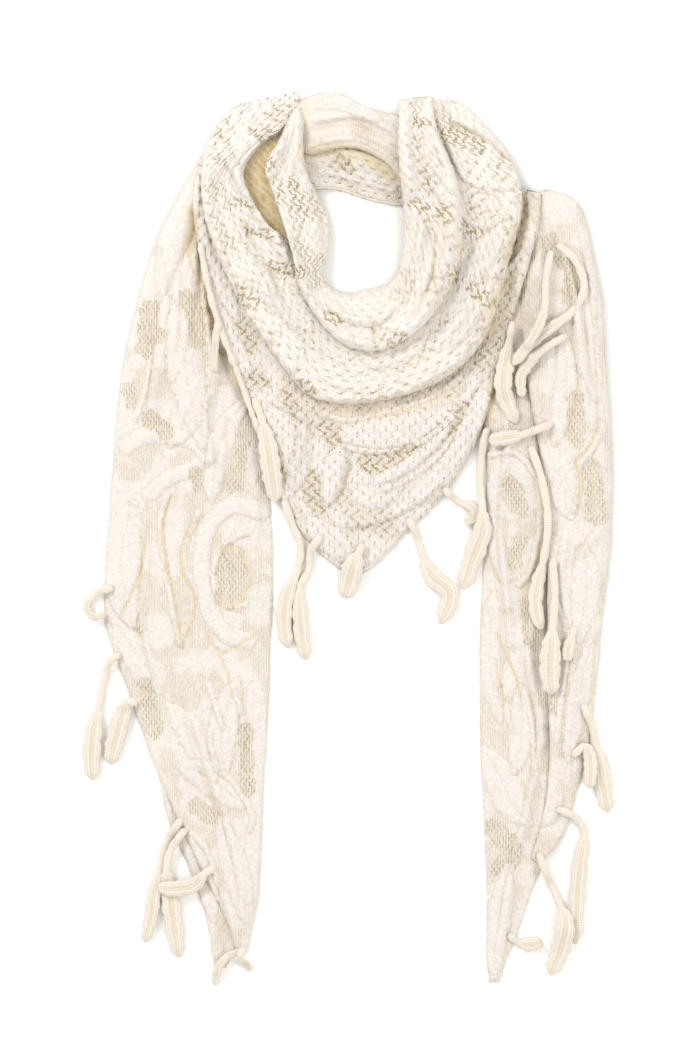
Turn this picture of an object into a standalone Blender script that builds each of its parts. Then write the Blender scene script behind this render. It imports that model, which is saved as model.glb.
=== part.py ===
"""Triangular lace shawl with leaf drops, laid flat in the loop that it makes round a neck.

Metres, +Z up. The shawl lies on its underside, and its plan is the picture seen from above:
picture right is +X and picture up is +Y. The neck loop is a heap of folded cloth round an open
neck hole, the two ends of the shawl lie below it, and leaf drops hang from the hemmed edges.
"""

import math
from collections import namedtuple

import bmesh
import bpy
import numpy as np

MM = 0.001

# Driving sizes
LAID_LENGTH = 0.670
CLOTH = 2.0 * MM
LAYER_GAP = 0.4 * MM
HEM_WIDTH = 3.0 * MM
HEM_RISE = 1.1 * MM
STEM_RADIUS = 1.9 * MM
LEAF_HALF_HEIGHT = 3.1 * MM
LEAF_GROOVE = 1.3 * MM
DROP_LIFT = 0.35 * MM
DROP_RING_SPACING = 9.0 * MM
MOTIF_RISE = 0.9 * MM

# The plan is given in picture pixels. These rows hold the shawl's top and lowest points, and
# the middle of its plan is the origin.
TOP_ROW = 92
LOWEST_ROW = 986
MIDDLE_COLUMN = 345.5
MIDDLE_ROW = 539.0
PIXEL = LAID_LENGTH / (LOWEST_ROW - TOP_ROW)

# How the heap of layers is kept
HEAP_CELL = 0.6 * MM
HEAP_HALF_X = 0.24
HEAP_HALF_Y = 0.37
SETTLING_ROUNDS = 8
PRESSING_ROUNDS = 4
FOLD_FADE = 0.07
EDGE_CLOSENESS = 0.4
SOFTENING_ROUNDS = 2
STEEPEST = 0.42

Section = namedtuple("Section", "left right crown")
Fold = namedtuple("Fold", "across_from across_to begin end half_width height lean")
Motif = namedtuple("Motif", "column row half_length half_width turn hollow")
Drop = namedtuple("Drop", "name stem leaf leaf_width")
CoreSection = namedtuple("CoreSection", "inner outer height")


def plan(column, row):
    """A picture pixel as metres in the plan."""
    return (column - MIDDLE_COLUMN) * PIXEL, (MIDDLE_ROW - row) * PIXEL


def spline(points, positions):
    """A smooth curve through the points, read at positions from 0 to the last point's number."""
    points = np.asarray(points, float)
    last = len(points) - 1
    start = np.clip(np.floor(positions).astype(int), 0, last - 1)
    t = (positions - start)[:, None]
    before = points[np.maximum(start - 1, 0)]
    here = points[start]
    there = points[start + 1]
    after = points[np.minimum(start + 2, last)]
    return 0.5 * (
        2 * here
        + (there - before) * t
        + (2 * before - 5 * here + 4 * there - after) * t**2
        + (3 * here - before - 3 * there + after) * t**3
    )


def evenly(points, count):
    """Positions along the curve through the points that cut it into count equal lengths."""
    fine = np.linspace(0, len(points) - 1, 400)
    curve = spline(points, fine)
    length = np.concatenate([[0], np.cumsum(np.linalg.norm(np.diff(curve, axis=0), axis=1))])
    return np.interp(np.linspace(0, length[-1], count + 1), length, fine)


class Heap:
    """The height of what has been laid so far, over a fine grid of the plan."""

    def __init__(self):
        shape = (int(2 * HEAP_HALF_X / HEAP_CELL), int(2 * HEAP_HALF_Y / HEAP_CELL))
        self.height = np.full(shape, -LAYER_GAP)

    def cells(self, x, y):
        i = np.clip(((x + HEAP_HALF_X) / HEAP_CELL).astype(int), 0, self.height.shape[0] - 1)
        j = np.clip(((y + HEAP_HALF_Y) / HEAP_CELL).astype(int), 0, self.height.shape[1] - 1)
        return i, j

    def add(self, x, y, z):
        np.maximum.at(self.height, self.cells(x, y), z)

    def spread(self):
        """The height with each cell as high as its highest neighbour."""
        padded = np.pad(self.height, 1, mode="edge")
        wide, deep = self.height.shape
        shifts = [padded[a : a + wide, b : b + deep] for a in range(3) for b in range(3)]
        return np.max(shifts, axis=0)


def between(grid, s, t):
    """Values of a grid at shares s and t inside every cell, read across both diagonals."""
    a, b = grid[:-1, :-1], grid[:-1, 1:]
    c, d = grid[1:, :-1], grid[1:, 1:]
    if s > t:
        first = a + s * (b - a) + t * (d - b)
    else:
        first = a + t * (c - a) + s * (d - c)
    if s + t < 1:
        second = a + s * (b - a) + t * (c - a)
    else:
        second = d + (1 - s) * (c - d) + (1 - t) * (b - d)
    return first, second


def inside_shares(x, y):
    """Shares across and along that read every cell of a grid about once per cell of the heap."""
    longest_across = np.hypot(np.diff(x, axis=1), np.diff(y, axis=1)).max()
    longest_along = np.hypot(np.diff(x, axis=0), np.diff(y, axis=0)).max()
    across = np.linspace(0, 1, int(longest_across / HEAP_CELL) + 2)
    along = np.linspace(0, 1, int(longest_along / HEAP_CELL) + 2)
    return [(s, t) for s in across for t in along]


def at_corners(values, choose):
    """Values of a grid's cells, taken to its points: each point gets choose of the cells round it."""
    padded = np.pad(values, 1, mode="edge")
    return choose(choose(padded[:-1, :-1], padded[:-1, 1:]), choose(padded[1:, :-1], padded[1:, 1:]))


def clearance(x, y, bottom, floor, shares):
    """The least height of each cell above the heap."""
    least = np.full((x.shape[0] - 1, x.shape[1] - 1), np.inf)
    for s, t in shares:
        cells = HEAP.cells(between(x, s, t)[0], between(y, s, t)[0])
        least = np.minimum(least, np.minimum(*between(bottom, s, t)) - floor[cells])
    return least


def settle(x, y, wanted):
    """Raises a grid of bottom heights until all of it clears the heap, then presses it down."""
    floor = HEAP.spread()
    shares = inside_shares(x, y)
    bottom = wanted.copy()
    for turn in range(SETTLING_ROUNDS):
        lack = np.maximum(LAYER_GAP - clearance(x, y, bottom, floor, shares), 0)
        share = 1.0 if turn == SETTLING_ROUNDS - 1 else 0.45
        bottom += share * at_corners(lack, np.maximum)
    for _ in range(PRESSING_ROUNDS):
        slack = np.maximum(clearance(x, y, bottom, floor, shares) - LAYER_GAP, 0)
        bottom = np.maximum(wanted, bottom - at_corners(slack, np.minimum))
    return bottom


def soften(heights):
    """Raises the hollows beside each peak, so that the cloth bends softly over what it covers."""
    for _ in range(SOFTENING_ROUNDS):
        padded = np.pad(heights, 1, mode="edge")
        along = (padded[:-2, 1:-1] + padded[2:, 1:-1]) / 2
        across = (padded[1:-1, :-2] + padded[1:-1, 2:]) / 2
        along[[0, -1]] = heights[[0, -1]]
        across[:, [0, -1]] = heights[:, [0, -1]]
        heights = np.maximum(heights, (along + across) / 2)
    return heights


def lay_on(x, y, top):
    """Adds a laid surface to the heap."""
    for s, t in inside_shares(x, y):
        HEAP.add(between(x, s, t)[0], between(y, s, t)[0], np.maximum(*between(top, s, t)))


def upright_share(x, y, z):
    """How far each point's surface faces up, from 0 to 1."""
    along = np.stack([np.gradient(v, axis=0) for v in (x, y, z)], -1)
    across = np.stack([np.gradient(v, axis=1) for v in (x, y, z)], -1)
    normal = np.cross(along, across)
    return np.abs(normal[..., 2]) / np.maximum(np.linalg.norm(normal, axis=-1), 1e-12)


def bump(distance, lean):
    """A soft ridge of height 1. A leaning ridge falls steeply on one side, as a fold that lies over."""
    ahead = np.where(distance * lean > 0, 1 + 1.6 * abs(lean), 1.0)
    return 0.5 * (1 + np.cos(np.pi * np.clip(distance * ahead, -1, 1)))


def fold_heights(folds, across, along):
    """The height that the folds give at shares across and along a stretch, in metres."""
    total = np.zeros(np.broadcast(across, along).shape)
    for fold in folds:
        share = np.clip((along - fold.begin) / (fold.end - fold.begin), 0, 1)
        line = fold.across_from + (fold.across_to - fold.across_from) * share
        fade = np.clip(np.minimum(along - fold.begin, fold.end - along) / FOLD_FADE, 0, 1)
        total = total + fold.height * MM * fade * bump((across - line) / fold.half_width, fold.lean)
    return total


def dome(across, flatness):
    """The arch of a stretch from edge to edge, from 0 at the edges to 1 in the middle."""
    return (1 - np.abs(2 * across - 1) ** flatness) ** 0.6


def shares_across(count, width, hems):
    """Shares across a stretch, closer at its edges, with a narrow strip at each hemmed edge."""
    even = np.linspace(0, 1, count + 1)
    rounded = (1 - np.cos(np.pi * even)) / 2
    shares = list(EDGE_CLOSENESS * rounded + (1 - EDGE_CLOSENESS) * even)
    hem = HEM_WIDTH / width
    if "left" in hems:
        shares.insert(1, hem)
    if "right" in hems:
        shares.insert(-1, 1 - hem)
    return np.array(shares)


def motif_rise(x, y):
    """How far the raised motifs lift the outer points of the cloth at these places."""
    rise = np.zeros(x.shape)
    for motif in MOTIFS:
        middle_x, middle_y = plan(motif.column, motif.row)
        turn = math.radians(motif.turn)
        aside = (x - middle_x) * math.cos(turn) + (y - middle_y) * math.sin(turn)
        along = (y - middle_y) * math.cos(turn) - (x - middle_x) * math.sin(turn)
        reach = np.hypot(aside / (motif.half_width * PIXEL), along / (motif.half_length * PIXEL))
        within = np.clip(3 * (1.15 - reach), 0, 1) * np.clip(4 * (reach - motif.hollow) + 1, 0, 1)
        rise = np.maximum(rise, MOTIF_RISE * within)
    return rise


def finish_object(name, mesh, material):
    """Puts the mesh's place into its object, so that the object's origin is the middle of its plan."""
    points = np.empty(len(mesh.vertices) * 3)
    mesh.vertices.foreach_get("co", points)
    points = points.reshape(-1, 3)
    middle = (points.min(0) + points.max(0)) / 2
    middle[2] = 0
    mesh.vertices.foreach_set("co", (points - middle).ravel())
    mesh.shade_smooth()
    mesh.set_sharp_from_angle(angle=math.radians(50))
    mesh.materials.append(material)
    piece = bpy.data.objects.new(name, mesh)
    piece.location = middle
    piece.parent = SHAWL
    bpy.context.scene.collection.objects.link(piece)
    return piece


def wall_mesh(name, x, y, bottom, top):
    """A closed wall between two grids of heights."""
    bm = bmesh.new()
    rows, columns = x.shape

    def points(heights):
        return [
            [bm.verts.new((x[i, j], y[i, j], heights[i, j])) for j in range(columns)]
            for i in range(rows)
        ]

    upper, lower = points(top), points(bottom)
    for i in range(rows - 1):
        for j in range(columns - 1):
            ring = [(i, j), (i, j + 1), (i + 1, j + 1), (i + 1, j)]
            bm.faces.new([upper[a][b] for a, b in reversed(ring)])
            bm.faces.new([lower[a][b] for a, b in ring])
    edge = [(0, j) for j in range(columns)] + [(i, columns - 1) for i in range(1, rows)]
    edge += [(rows - 1, j) for j in range(columns - 2, -1, -1)]
    edge += [(i, 0) for i in range(rows - 2, 0, -1)]
    for (a, b), (c, d) in zip(edge, edge[1:] + edge[:1]):
        bm.faces.new([upper[a][b], upper[c][d], lower[c][d], lower[a][b]])
    bmesh.ops.recalc_face_normals(bm, faces=bm.faces)
    mesh = bpy.data.meshes.new(name)
    bm.to_mesh(mesh)
    bm.free()
    return mesh


def stretch(name, sections, along_count, across_count, folds=(), hems=(), arch=2.6):
    """Lays one stretch of cloth on the heap: a wall whose edges follow the table of sections."""
    lefts = [plan(*s.left) for s in sections]
    rights = [plan(*s.right) for s in sections]
    crowns = [(s.crown * MM,) for s in sections]
    middles = (np.array(lefts) + np.array(rights)) / 2
    positions = evenly(middles, along_count)
    left, right = spline(lefts, positions), spline(rights, positions)
    crown = np.maximum(spline(crowns, positions), 0)
    width = np.linalg.norm(right - left, axis=1).mean()
    across = shares_across(across_count, width, hems)[None, :]
    along = (positions / (len(sections) - 1))[:, None]
    x = left[:, :1] + (right - left)[:, :1] * across
    y = left[:, 1:] + (right - left)[:, 1:] * across
    wanted = crown * dome(across, arch) + fold_heights(folds, across, along)
    bottom = soften(settle(x, y, np.maximum(wanted, 0)))
    top = bottom + CLOTH / np.maximum(upright_share(x, y, bottom), STEEPEST)
    top += motif_rise(x, y)
    if "left" in hems:
        top[:, :2] += HEM_RISE
    if "right" in hems:
        top[:, -2:] += HEM_RISE
    lay_on(x, y, top)
    return finish_object(name, wall_mesh(name, x, y, bottom, top), LACE)


def leaf_drop(drop):
    """Lays one knitted drop: a round stem that swells into a flat grooved leaf with a blunt tip."""
    stem = [plan(*p) for p in drop.stem]
    leaf = [plan(*p) for p in drop.leaf]
    route = stem + leaf
    stem_share = len(stem) / (len(route) - 1)
    length = np.linalg.norm(np.diff(route, axis=0), axis=1).sum()
    count = int(np.clip(round(length / DROP_RING_SPACING), 7, 11))
    positions = evenly(route, count)
    line = spline(route, positions)
    heading = np.gradient(line, axis=0)
    heading /= np.linalg.norm(heading, axis=1)[:, None]
    side = np.stack([-heading[:, 1], heading[:, 0]], -1)
    share = positions / (len(route) - 1)
    in_leaf = np.clip((share - stem_share) / (1 - stem_share), 0, 1)
    swell = np.where(in_leaf > 0, np.sin(np.pi * np.clip(in_leaf * 0.86 + 0.05, 0, 1)) ** 0.75, 0)
    half_leaf = drop.leaf_width * PIXEL / 2
    half_width = STEM_RADIUS + (half_leaf - STEM_RADIUS) * swell
    half_height = STEM_RADIUS + (LEAF_HALF_HEIGHT - STEM_RADIUS) * swell
    half_width[-1] *= 0.55
    half_height[-1] *= 0.6
    offsets = np.array([-1.0, 0.0, 1.0])[None, :] * half_width[:, None]
    x = line[:, :1] + side[:, :1] * offsets
    y = line[:, 1:] + side[:, 1:] * offsets
    side_rise = np.array([0.5, 0.0, 0.5])[None, :] * half_height[:, None]
    base = (settle(x, y, DROP_LIFT + side_rise) - side_rise).max(axis=1)
    lay_on(x, y, np.repeat((base + 2 * half_height)[:, None], 3, axis=1))
    bm = bmesh.new()
    rings = []
    for k in range(len(line)):
        ring = []
        for corner in range(6):
            angle = math.radians(90 + 60 * corner)
            aside = math.cos(angle) * half_width[k] / math.cos(math.radians(30))
            height = base[k] + half_height[k] * (1 + math.sin(angle))
            if corner == 0:
                height -= LEAF_GROOVE * swell[k]
            place = line[k] + side[k] * aside
            ring.append(bm.verts.new((place[0], place[1], height)))
        rings.append(ring)
    for first, second in zip(rings, rings[1:]):
        for k in range(6):
            bm.faces.new([first[k], first[(k + 1) % 6], second[(k + 1) % 6], second[k]])
    bm.faces.new(rings[0])
    bm.faces.new(rings[-1])
    bmesh.ops.recalc_face_normals(bm, faces=bm.faces)
    mesh = bpy.data.meshes.new(drop.name)
    bm.to_mesh(mesh)
    bm.free()
    return finish_object(drop.name, mesh, KNIT)


# The heap's core

# Sections of the hidden layers of the loop, one every so often clockwise from the left front:
# inner and outer edge in the plan, and height in mm.
CORE_SECTIONS = (
    CoreSection((310, 262), (240, 268), 10),
    CoreSection((305, 225), (230, 215), 10),
    CoreSection((303, 198), (230, 172), 9),
    CoreSection((308, 176), (256, 138), 8),
    CoreSection((330, 164), (312, 122), 7),
    CoreSection((356, 167), (362, 132), 7),
    CoreSection((384, 174), (410, 130), 8),
    CoreSection((418, 186), (462, 142), 11),
    CoreSection((424, 215), (490, 178), 13),
    CoreSection((420, 250), (496, 222), 14),
    CoreSection((414, 285), (484, 276), 14),
    CoreSection((400, 306), (456, 326), 13),
    CoreSection((378, 318), (408, 360), 11),
    CoreSection((350, 316), (342, 364), 10),
    CoreSection((324, 298), (280, 330), 10),
)
CORE_EDGE_LAYERS = 2
CORE_LAYER = 2.4 * MM
CORE_LAYER_STEP = 2.2 * MM
CORE_TURN_COUNT = 28


def core_profile(width, height):
    """Half section of the hidden layers from the inner edge to the outer one, as (across, up)."""
    side = []
    for k in range(CORE_EDGE_LAYERS):
        side.append((k * CORE_LAYER_STEP, k * CORE_LAYER))
        side.append((k * CORE_LAYER_STEP, (k + 1) * CORE_LAYER - 0.3 * MM))
    lip = side[-1]
    arch = []
    for k in range(1, 5):
        angle = math.pi * k / 5
        aside = lip[0] + (width - 2 * lip[0]) * (1 - math.cos(angle)) / 2
        arch.append((aside, lip[1] + max(height - lip[1], 0.5 * MM) * math.sin(angle) ** 0.7))
    return side + arch + [(width - a, b) for a, b in reversed(side)]


def hidden_layers():
    """The hidden layers of the neck loop as one rounded ring with a flat underside."""
    count = len(CORE_SECTIONS)
    closed = [(*plan(*s.inner), *plan(*s.outer), s.height * MM) for s in CORE_SECTIONS]
    closed = closed[-1:] + closed + closed[:2]
    turns = 1 + np.arange(CORE_TURN_COUNT) * count / CORE_TURN_COUNT
    rings = spline(closed, turns)
    bm = bmesh.new()
    loops = []
    grid = []
    for inner_x, inner_y, outer_x, outer_y, height in rings:
        width = math.hypot(outer_x - inner_x, outer_y - inner_y)
        outward = ((outer_x - inner_x) / width, (outer_y - inner_y) / width)
        points = [
            (inner_x + outward[0] * aside, inner_y + outward[1] * aside, up)
            for aside, up in core_profile(width, height)
        ]
        loops.append([bm.verts.new(p) for p in points])
        grid.append(points)
    size = len(loops[0])
    for first, second in zip(loops, loops[1:] + loops[:1]):
        for k in range(size):
            bm.faces.new([first[k], first[(k + 1) % size], second[(k + 1) % size], second[k]])
    bmesh.ops.recalc_face_normals(bm, faces=bm.faces)
    mesh = bpy.data.meshes.new("hidden_layers")
    bm.to_mesh(mesh)
    bm.free()
    surface = np.array(grid + grid[:1])
    lay_on(surface[..., 0], surface[..., 1], surface[..., 2])
    return finish_object("hidden_layers", mesh, INNER)


# The two ends of the shawl

LEFT_END = (
    Section((205, 152), (226, 160), 2),
    Section((186, 186), (222, 196), 8),
    Section((161, 232), (224, 242), 8),
    Section((148, 268), (228, 280), 7),
    Section((132, 328), (236, 325), 6),
    Section((121, 386), (248, 385), 5),
    Section((115, 450), (262, 445), 4),
    Section((111, 510), (270, 505), 4),
    Section((107, 570), (273, 565), 3),
    Section((106, 622), (271, 625), 3),
    Section((123, 675), (269, 685), 3),
    Section((141, 725), (266, 740), 2),
    Section((160, 775), (262, 800), 2),
    Section((181, 825), (260, 850), 2),
    Section((205, 875), (257, 895), 2),
    Section((226, 918), (251, 930), 1),
    Section((236, 950), (244, 956), 1),
)
LEFT_END_FOLDS = (
    Fold(0.28, 0.42, 0.02, 0.34, 0.26, 6.0, 0.0),
    Fold(0.10, 0.12, 0.22, 0.58, 0.10, 4.5, -0.4),
    Fold(0.60, 0.56, 0.12, 0.46, 0.20, 6.5, 0.9),
    Fold(0.40, 0.30, 0.44, 0.66, 0.12, 3.5, 0.6),
    Fold(0.62, 0.45, 0.42, 0.80, 0.11, 3.5, 0.8),
    Fold(0.86, 0.80, 0.40, 0.86, 0.12, 3.0, -0.5),
    Fold(0.25, 0.55, 0.60, 0.97, 0.14, 3.0, 0.7),
    Fold(0.50, 0.70, 0.72, 0.99, 0.12, 2.5, 0.9),
)

LEFT_UNDER_END = (
    Section((148, 730), (205, 740), 0),
    Section((160, 780), (225, 790), 0),
    Section((170, 825), (235, 835), 0),
    Section((187, 862), (243, 875), 0),
    Section((201, 900), (246, 910), 0),
    Section((210, 935), (240, 938), 0),
    Section((214, 966), (226, 968), 0),
)

RIGHT_INNER_END = (
    Section((478, 395), (540, 395), 6),
    Section((486, 445), (545, 445), 5),
    Section((487, 500), (556, 500), 4),
    Section((484, 560), (562, 560), 3),
    Section((481, 620), (568, 620), 3),
    Section((480, 680), (574, 680), 2),
    Section((481, 740), (572, 740), 2),
    Section((483, 800), (562, 800), 2),
    Section((485, 850), (548, 850), 2),
    Section((487, 890), (532, 890), 2),
    Section((488, 925), (520, 925), 1),
    Section((487, 955), (508, 955), 1),
    Section((490, 982), (499, 982), 1),
)
RIGHT_INNER_FOLDS = (
    Fold(0.25, 0.20, 0.05, 0.55, 0.18, 3.5, -0.5),
    Fold(0.70, 0.55, 0.05, 0.40, 0.20, 4.0, 0.8),
    Fold(0.45, 0.60, 0.45, 0.92, 0.16, 3.0, 0.6),
    Fold(0.18, 0.30, 0.62, 0.97, 0.14, 2.6, -0.6),
)

RIGHT_OUTER_END = (
    Section((508, 202), (548, 190), 2),
    Section((511, 224), (574, 200), 10),
    Section((513, 248), (586, 224), 11),
    Section((515, 274), (592, 258), 11),
    Section((519, 306), (600, 295), 10),
    Section((523, 350), (603, 340), 9),
    Section((530, 398), (607, 390), 8),
    Section((539, 447), (611, 450), 7),
    Section((545, 503), (611, 510), 6),
    Section((547, 562), (607, 570), 6),
    Section((547, 620), (601, 626), 5),
    Section((547, 670), (596, 682), 4),
    Section((549, 722), (590, 736), 3),
    Section((549, 772), (578, 787), 3),
    Section((541, 822), (563, 834), 2),
    Section((531, 858), (540, 864), 2),
)
RIGHT_OUTER_FOLDS = (
    Fold(0.30, 0.25, 0.03, 0.40, 0.20, 6.0, -0.6),
    Fold(0.62, 0.60, 0.02, 0.36, 0.18, 5.0, 0.6),
    Fold(0.85, 0.80, 0.10, 0.66, 0.18, 4.0, 0.0),
    Fold(0.35, 0.50, 0.42, 0.86, 0.20, 3.5, 0.6),
)

# The neck loop

NECK_BACK_INNER = (
    Section((294, 154), (302, 192), 2),
    Section((314, 148), (322, 189), 2),
    Section((336, 145), (343, 191), 2),
    Section((360, 148), (366, 199), 2),
    Section((386, 156), (390, 204), 2),
    Section((412, 162), (412, 206), 2),
)
NECK_BACK_OUTER = (
    Section((294, 114), (296, 150), 3),
    Section((306, 99), (310, 156), 7),
    Section((336, 93), (340, 149), 9),
    Section((362, 106), (364, 152), 9),
    Section((384, 113), (388, 166), 8),
    Section((402, 118), (402, 182), 6),
    Section((414, 130), (412, 184), 3),
)
NECK_BACK_OUTER_FOLDS = (
    Fold(0.25, 0.20, 0.0, 1.0, 0.20, 3.1, 0.6),
    Fold(0.55, 0.50, 0.0, 1.0, 0.16, 2.4, 0.8),
    Fold(0.82, 0.86, 0.0, 1.0, 0.16, 2.4, 0.6),
)

# Outer stretch of the loop with the point of the shawl: left is its hem, right its hidden edge.
POINT_DRAPE = (
    Section((200, 166), (224, 172), 4),
    Section((195, 188), (228, 190), 9),
    Section((194, 214), (232, 212), 10),
    Section((198, 244), (240, 238), 9),
    Section((206, 287), (256, 268), 9),
    Section((217, 326), (276, 300), 8),
    Section((236, 376), (298, 334), 6),
    Section((258, 436), (320, 366), 6),
    Section((290, 518), (346, 380), 4),
    Section((354, 574), (368, 382), 4),
    Section((410, 528), (394, 380), 4),
    Section((446, 492), (424, 366), 5),
    Section((474, 446), (450, 344), 6),
    Section((489, 402), (470, 316), 6),
    Section((501, 358), (482, 288), 7),
    Section((514, 312), (488, 262), 9),
    Section((527, 268), (492, 236), 9),
    Section((537, 228), (492, 208), 9),
    Section((540, 194), (490, 182), 4),
)
POINT_DRAPE_FOLDS = (
    Fold(0.30, 0.20, 0.10, 0.44, 0.16, 3.0, -0.6),
    Fold(0.66, 0.52, 0.06, 0.46, 0.16, 3.4, -0.8),
    Fold(0.50, 0.16, 0.38, 0.54, 0.12, 4.2, 0.8),
    Fold(0.80, 0.66, 0.40, 0.66, 0.13, 3.8, -0.6),
    Fold(0.60, 0.28, 0.44, 0.60, 0.11, 3.4, -0.8),
    Fold(0.45, 0.40, 0.54, 0.80, 0.13, 3.8, -0.7),
    Fold(0.16, 0.24, 0.56, 0.78, 0.11, 2.5, -0.5),
    Fold(0.34, 0.40, 0.72, 0.99, 0.14, 3.4, -0.6),
    Fold(0.70, 0.72, 0.70, 0.99, 0.14, 3.4, -0.6),
)

# Middle swag of the loop: over the top left, down the left, round the front and up to the top
# right. Left is its outer edge.
MIDDLE_SWAG = (
    Section((212, 140), (289, 102), 2),
    Section((205, 158), (287, 114), 8),
    Section((203, 178), (257, 134), 13),
    Section((203, 202), (244, 164), 14),
    Section((209, 230), (254, 192), 14),
    Section((220, 260), (272, 220), 13),
    Section((235, 292), (294, 248), 13),
    Section((254, 324), (314, 280), 13),
    Section((278, 360), (332, 304), 12),
    Section((304, 392), (348, 320), 11),
    Section((334, 403), (360, 328), 10),
    Section((368, 403), (374, 328), 10),
    Section((402, 396), (388, 320), 11),
    Section((436, 383), (404, 308), 12),
    Section((464, 363), (420, 292), 13),
    Section((484, 338), (432, 272), 15),
    Section((497, 306), (440, 250), 16),
    Section((504, 276), (444, 230), 16),
    Section((513, 246), (446, 208), 17),
    Section((520, 214), (446, 188), 17),
    Section((519, 186), (442, 168), 16),
    Section((505, 154), (434, 150), 14),
    Section((484, 126), (430, 134), 10),
    Section((462, 104), (418, 108), 2),
)
MIDDLE_SWAG_FOLDS = (
    Fold(0.45, 0.42, 0.05, 0.50, 0.30, 3.4, -0.7),
    Fold(0.80, 0.74, 0.03, 0.44, 0.20, 2.6, -0.7),
    Fold(0.20, 0.25, 0.40, 0.72, 0.16, 3.0, -0.7),
    Fold(0.52, 0.45, 0.44, 0.74, 0.14, 2.6, -0.5),
    Fold(0.14, 0.12, 0.76, 1.00, 0.14, 5.2, 0.0),
    Fold(0.40, 0.44, 0.70, 1.00, 0.14, 3.8, -0.8),
    Fold(0.70, 0.72, 0.66, 1.00, 0.16, 3.4, -0.5),
)

# Inner swag: down the left of the neck hole, round its front and up to the top right. Left is
# its outer edge, right the edge of the neck hole.
INNER_SWAG = (
    Section((284, 95), (304, 92), 2),
    Section((282, 118), (303, 118), 10),
    Section((270, 144), (302, 146), 14),
    Section((262, 170), (306, 172), 15),
    Section((263, 198), (318, 198), 14),
    Section((272, 226), (328, 222), 14),
    Section((286, 256), (328, 250), 15),
    Section((300, 288), (322, 276), 16),
    Section((318, 320), (334, 290), 16),
    Section((342, 344), (354, 294), 16),
    Section((370, 352), (370, 290), 16),
    Section((394, 346), (386, 286), 17),
    Section((418, 331), (398, 274), 19),
    Section((438, 308), (403, 252), 20),
    Section((452, 282), (404, 230), 21),
    Section((460, 250), (404, 206), 22),
    Section((462, 218), (401, 186), 22),
    Section((458, 190), (399, 166), 20),
    Section((448, 162), (398, 144), 17),
    Section((436, 132), (399, 122), 11),
    Section((432, 96), (399, 99), 2),
)
INNER_SWAG_FOLDS = (
    Fold(0.20, 0.40, 0.03, 0.34, 0.30, 3.0, -0.5),
    Fold(0.80, 0.78, 0.10, 0.36, 0.22, 2.6, 0.5),
    Fold(0.25, 0.30, 0.36, 0.70, 0.22, 3.0, -0.7),
    Fold(0.75, 0.70, 0.44, 0.60, 0.22, 3.8, 0.6),
    Fold(0.24, 0.28, 0.62, 1.00, 0.18, 3.8, -0.7),
    Fold(0.56, 0.58, 0.60, 1.00, 0.16, 3.4, -0.5),
    Fold(0.86, 0.86, 0.58, 1.00, 0.14, 2.6, 0.5),
)

# Raised motifs of the lace, by the middle of each in picture pixels. turn is its lean from
# upright in degrees, and hollow is the share of it that stays plain inside.
MOTIFS = (
    Motif(129, 559, 56, 16, 4, 0),
    Motif(178, 458, 38, 14, 68, 0),
    Motif(188, 405, 42, 13, 0, 0),
    Motif(229, 576, 50, 34, 0, 0.6),
    Motif(182, 606, 42, 10, 6, 0),
    Motif(180, 524, 40, 10, -8, 0),
    Motif(150, 664, 34, 10, 35, 0),
    Motif(196, 690, 46, 12, 15, 0),
    Motif(240, 700, 46, 11, -8, 0),
    Motif(180, 750, 36, 15, 25, 0),
    Motif(222, 776, 40, 15, 5, 0),
    Motif(214, 832, 30, 14, 15, 0),
    Motif(236, 886, 34, 9, 12, 0),
    Motif(148, 345, 44, 14, -10, 0),
    Motif(186, 330, 46, 12, 4, 0),
    Motif(172, 262, 34, 12, -18, 0),
    Motif(244, 466, 36, 13, 8, 0),
    Motif(514, 520, 62, 24, 4, 0.55),
    Motif(494, 650, 50, 9, 0, 0),
    Motif(524, 650, 40, 12, 12, 0),
    Motif(508, 730, 44, 12, 6, 0),
    Motif(540, 755, 36, 12, -12, 0),
    Motif(512, 836, 36, 12, -5, 0),
    Motif(504, 905, 34, 9, 0, 0),
    Motif(562, 262, 26, 13, -15, 0.5),
    Motif(588, 318, 42, 12, 5, 0),
    Motif(572, 385, 36, 12, -10, 0),
    Motif(566, 470, 50, 14, 12, 0),
    Motif(594, 520, 44, 11, 4, 0),
    Motif(585, 620, 44, 11, -5, 0),
    Motif(570, 705, 34, 12, 0, 0),
    Motif(388, 424, 42, 13, -82, 0),
    Motif(330, 462, 36, 14, -20, 0),
    Motif(298, 446, 34, 13, 35, 0),
    Motif(404, 476, 36, 12, -50, 0),
    Motif(438, 440, 38, 13, -50, 0),
    Motif(348, 524, 34, 12, 6, 0),
    Motif(376, 510, 30, 11, -50, 0),
    Motif(212, 340, 40, 9, 20, 0),
    Motif(232, 245, 40, 12, 26, 0),
    Motif(276, 296, 44, 12, 38, 0),
    Motif(224, 150, 30, 15, -30, 0),
    Motif(262, 120, 26, 12, -60, 0),
    Motif(340, 372, 44, 12, 80, 0),
    Motif(432, 356, 44, 12, -58, 0),
    Motif(470, 300, 44, 13, -28, 0),
    Motif(492, 220, 40, 14, -8, 0),
    Motif(474, 150, 34, 14, 38, 0),
    Motif(430, 150, 36, 12, 12, 0),
    Motif(428, 240, 44, 12, -10, 0),
    Motif(392, 316, 28, 12, -50, 0),
    Motif(300, 205, 40, 12, 20, 0),
    Motif(342, 118, 40, 12, 82, 0),
)

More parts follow.
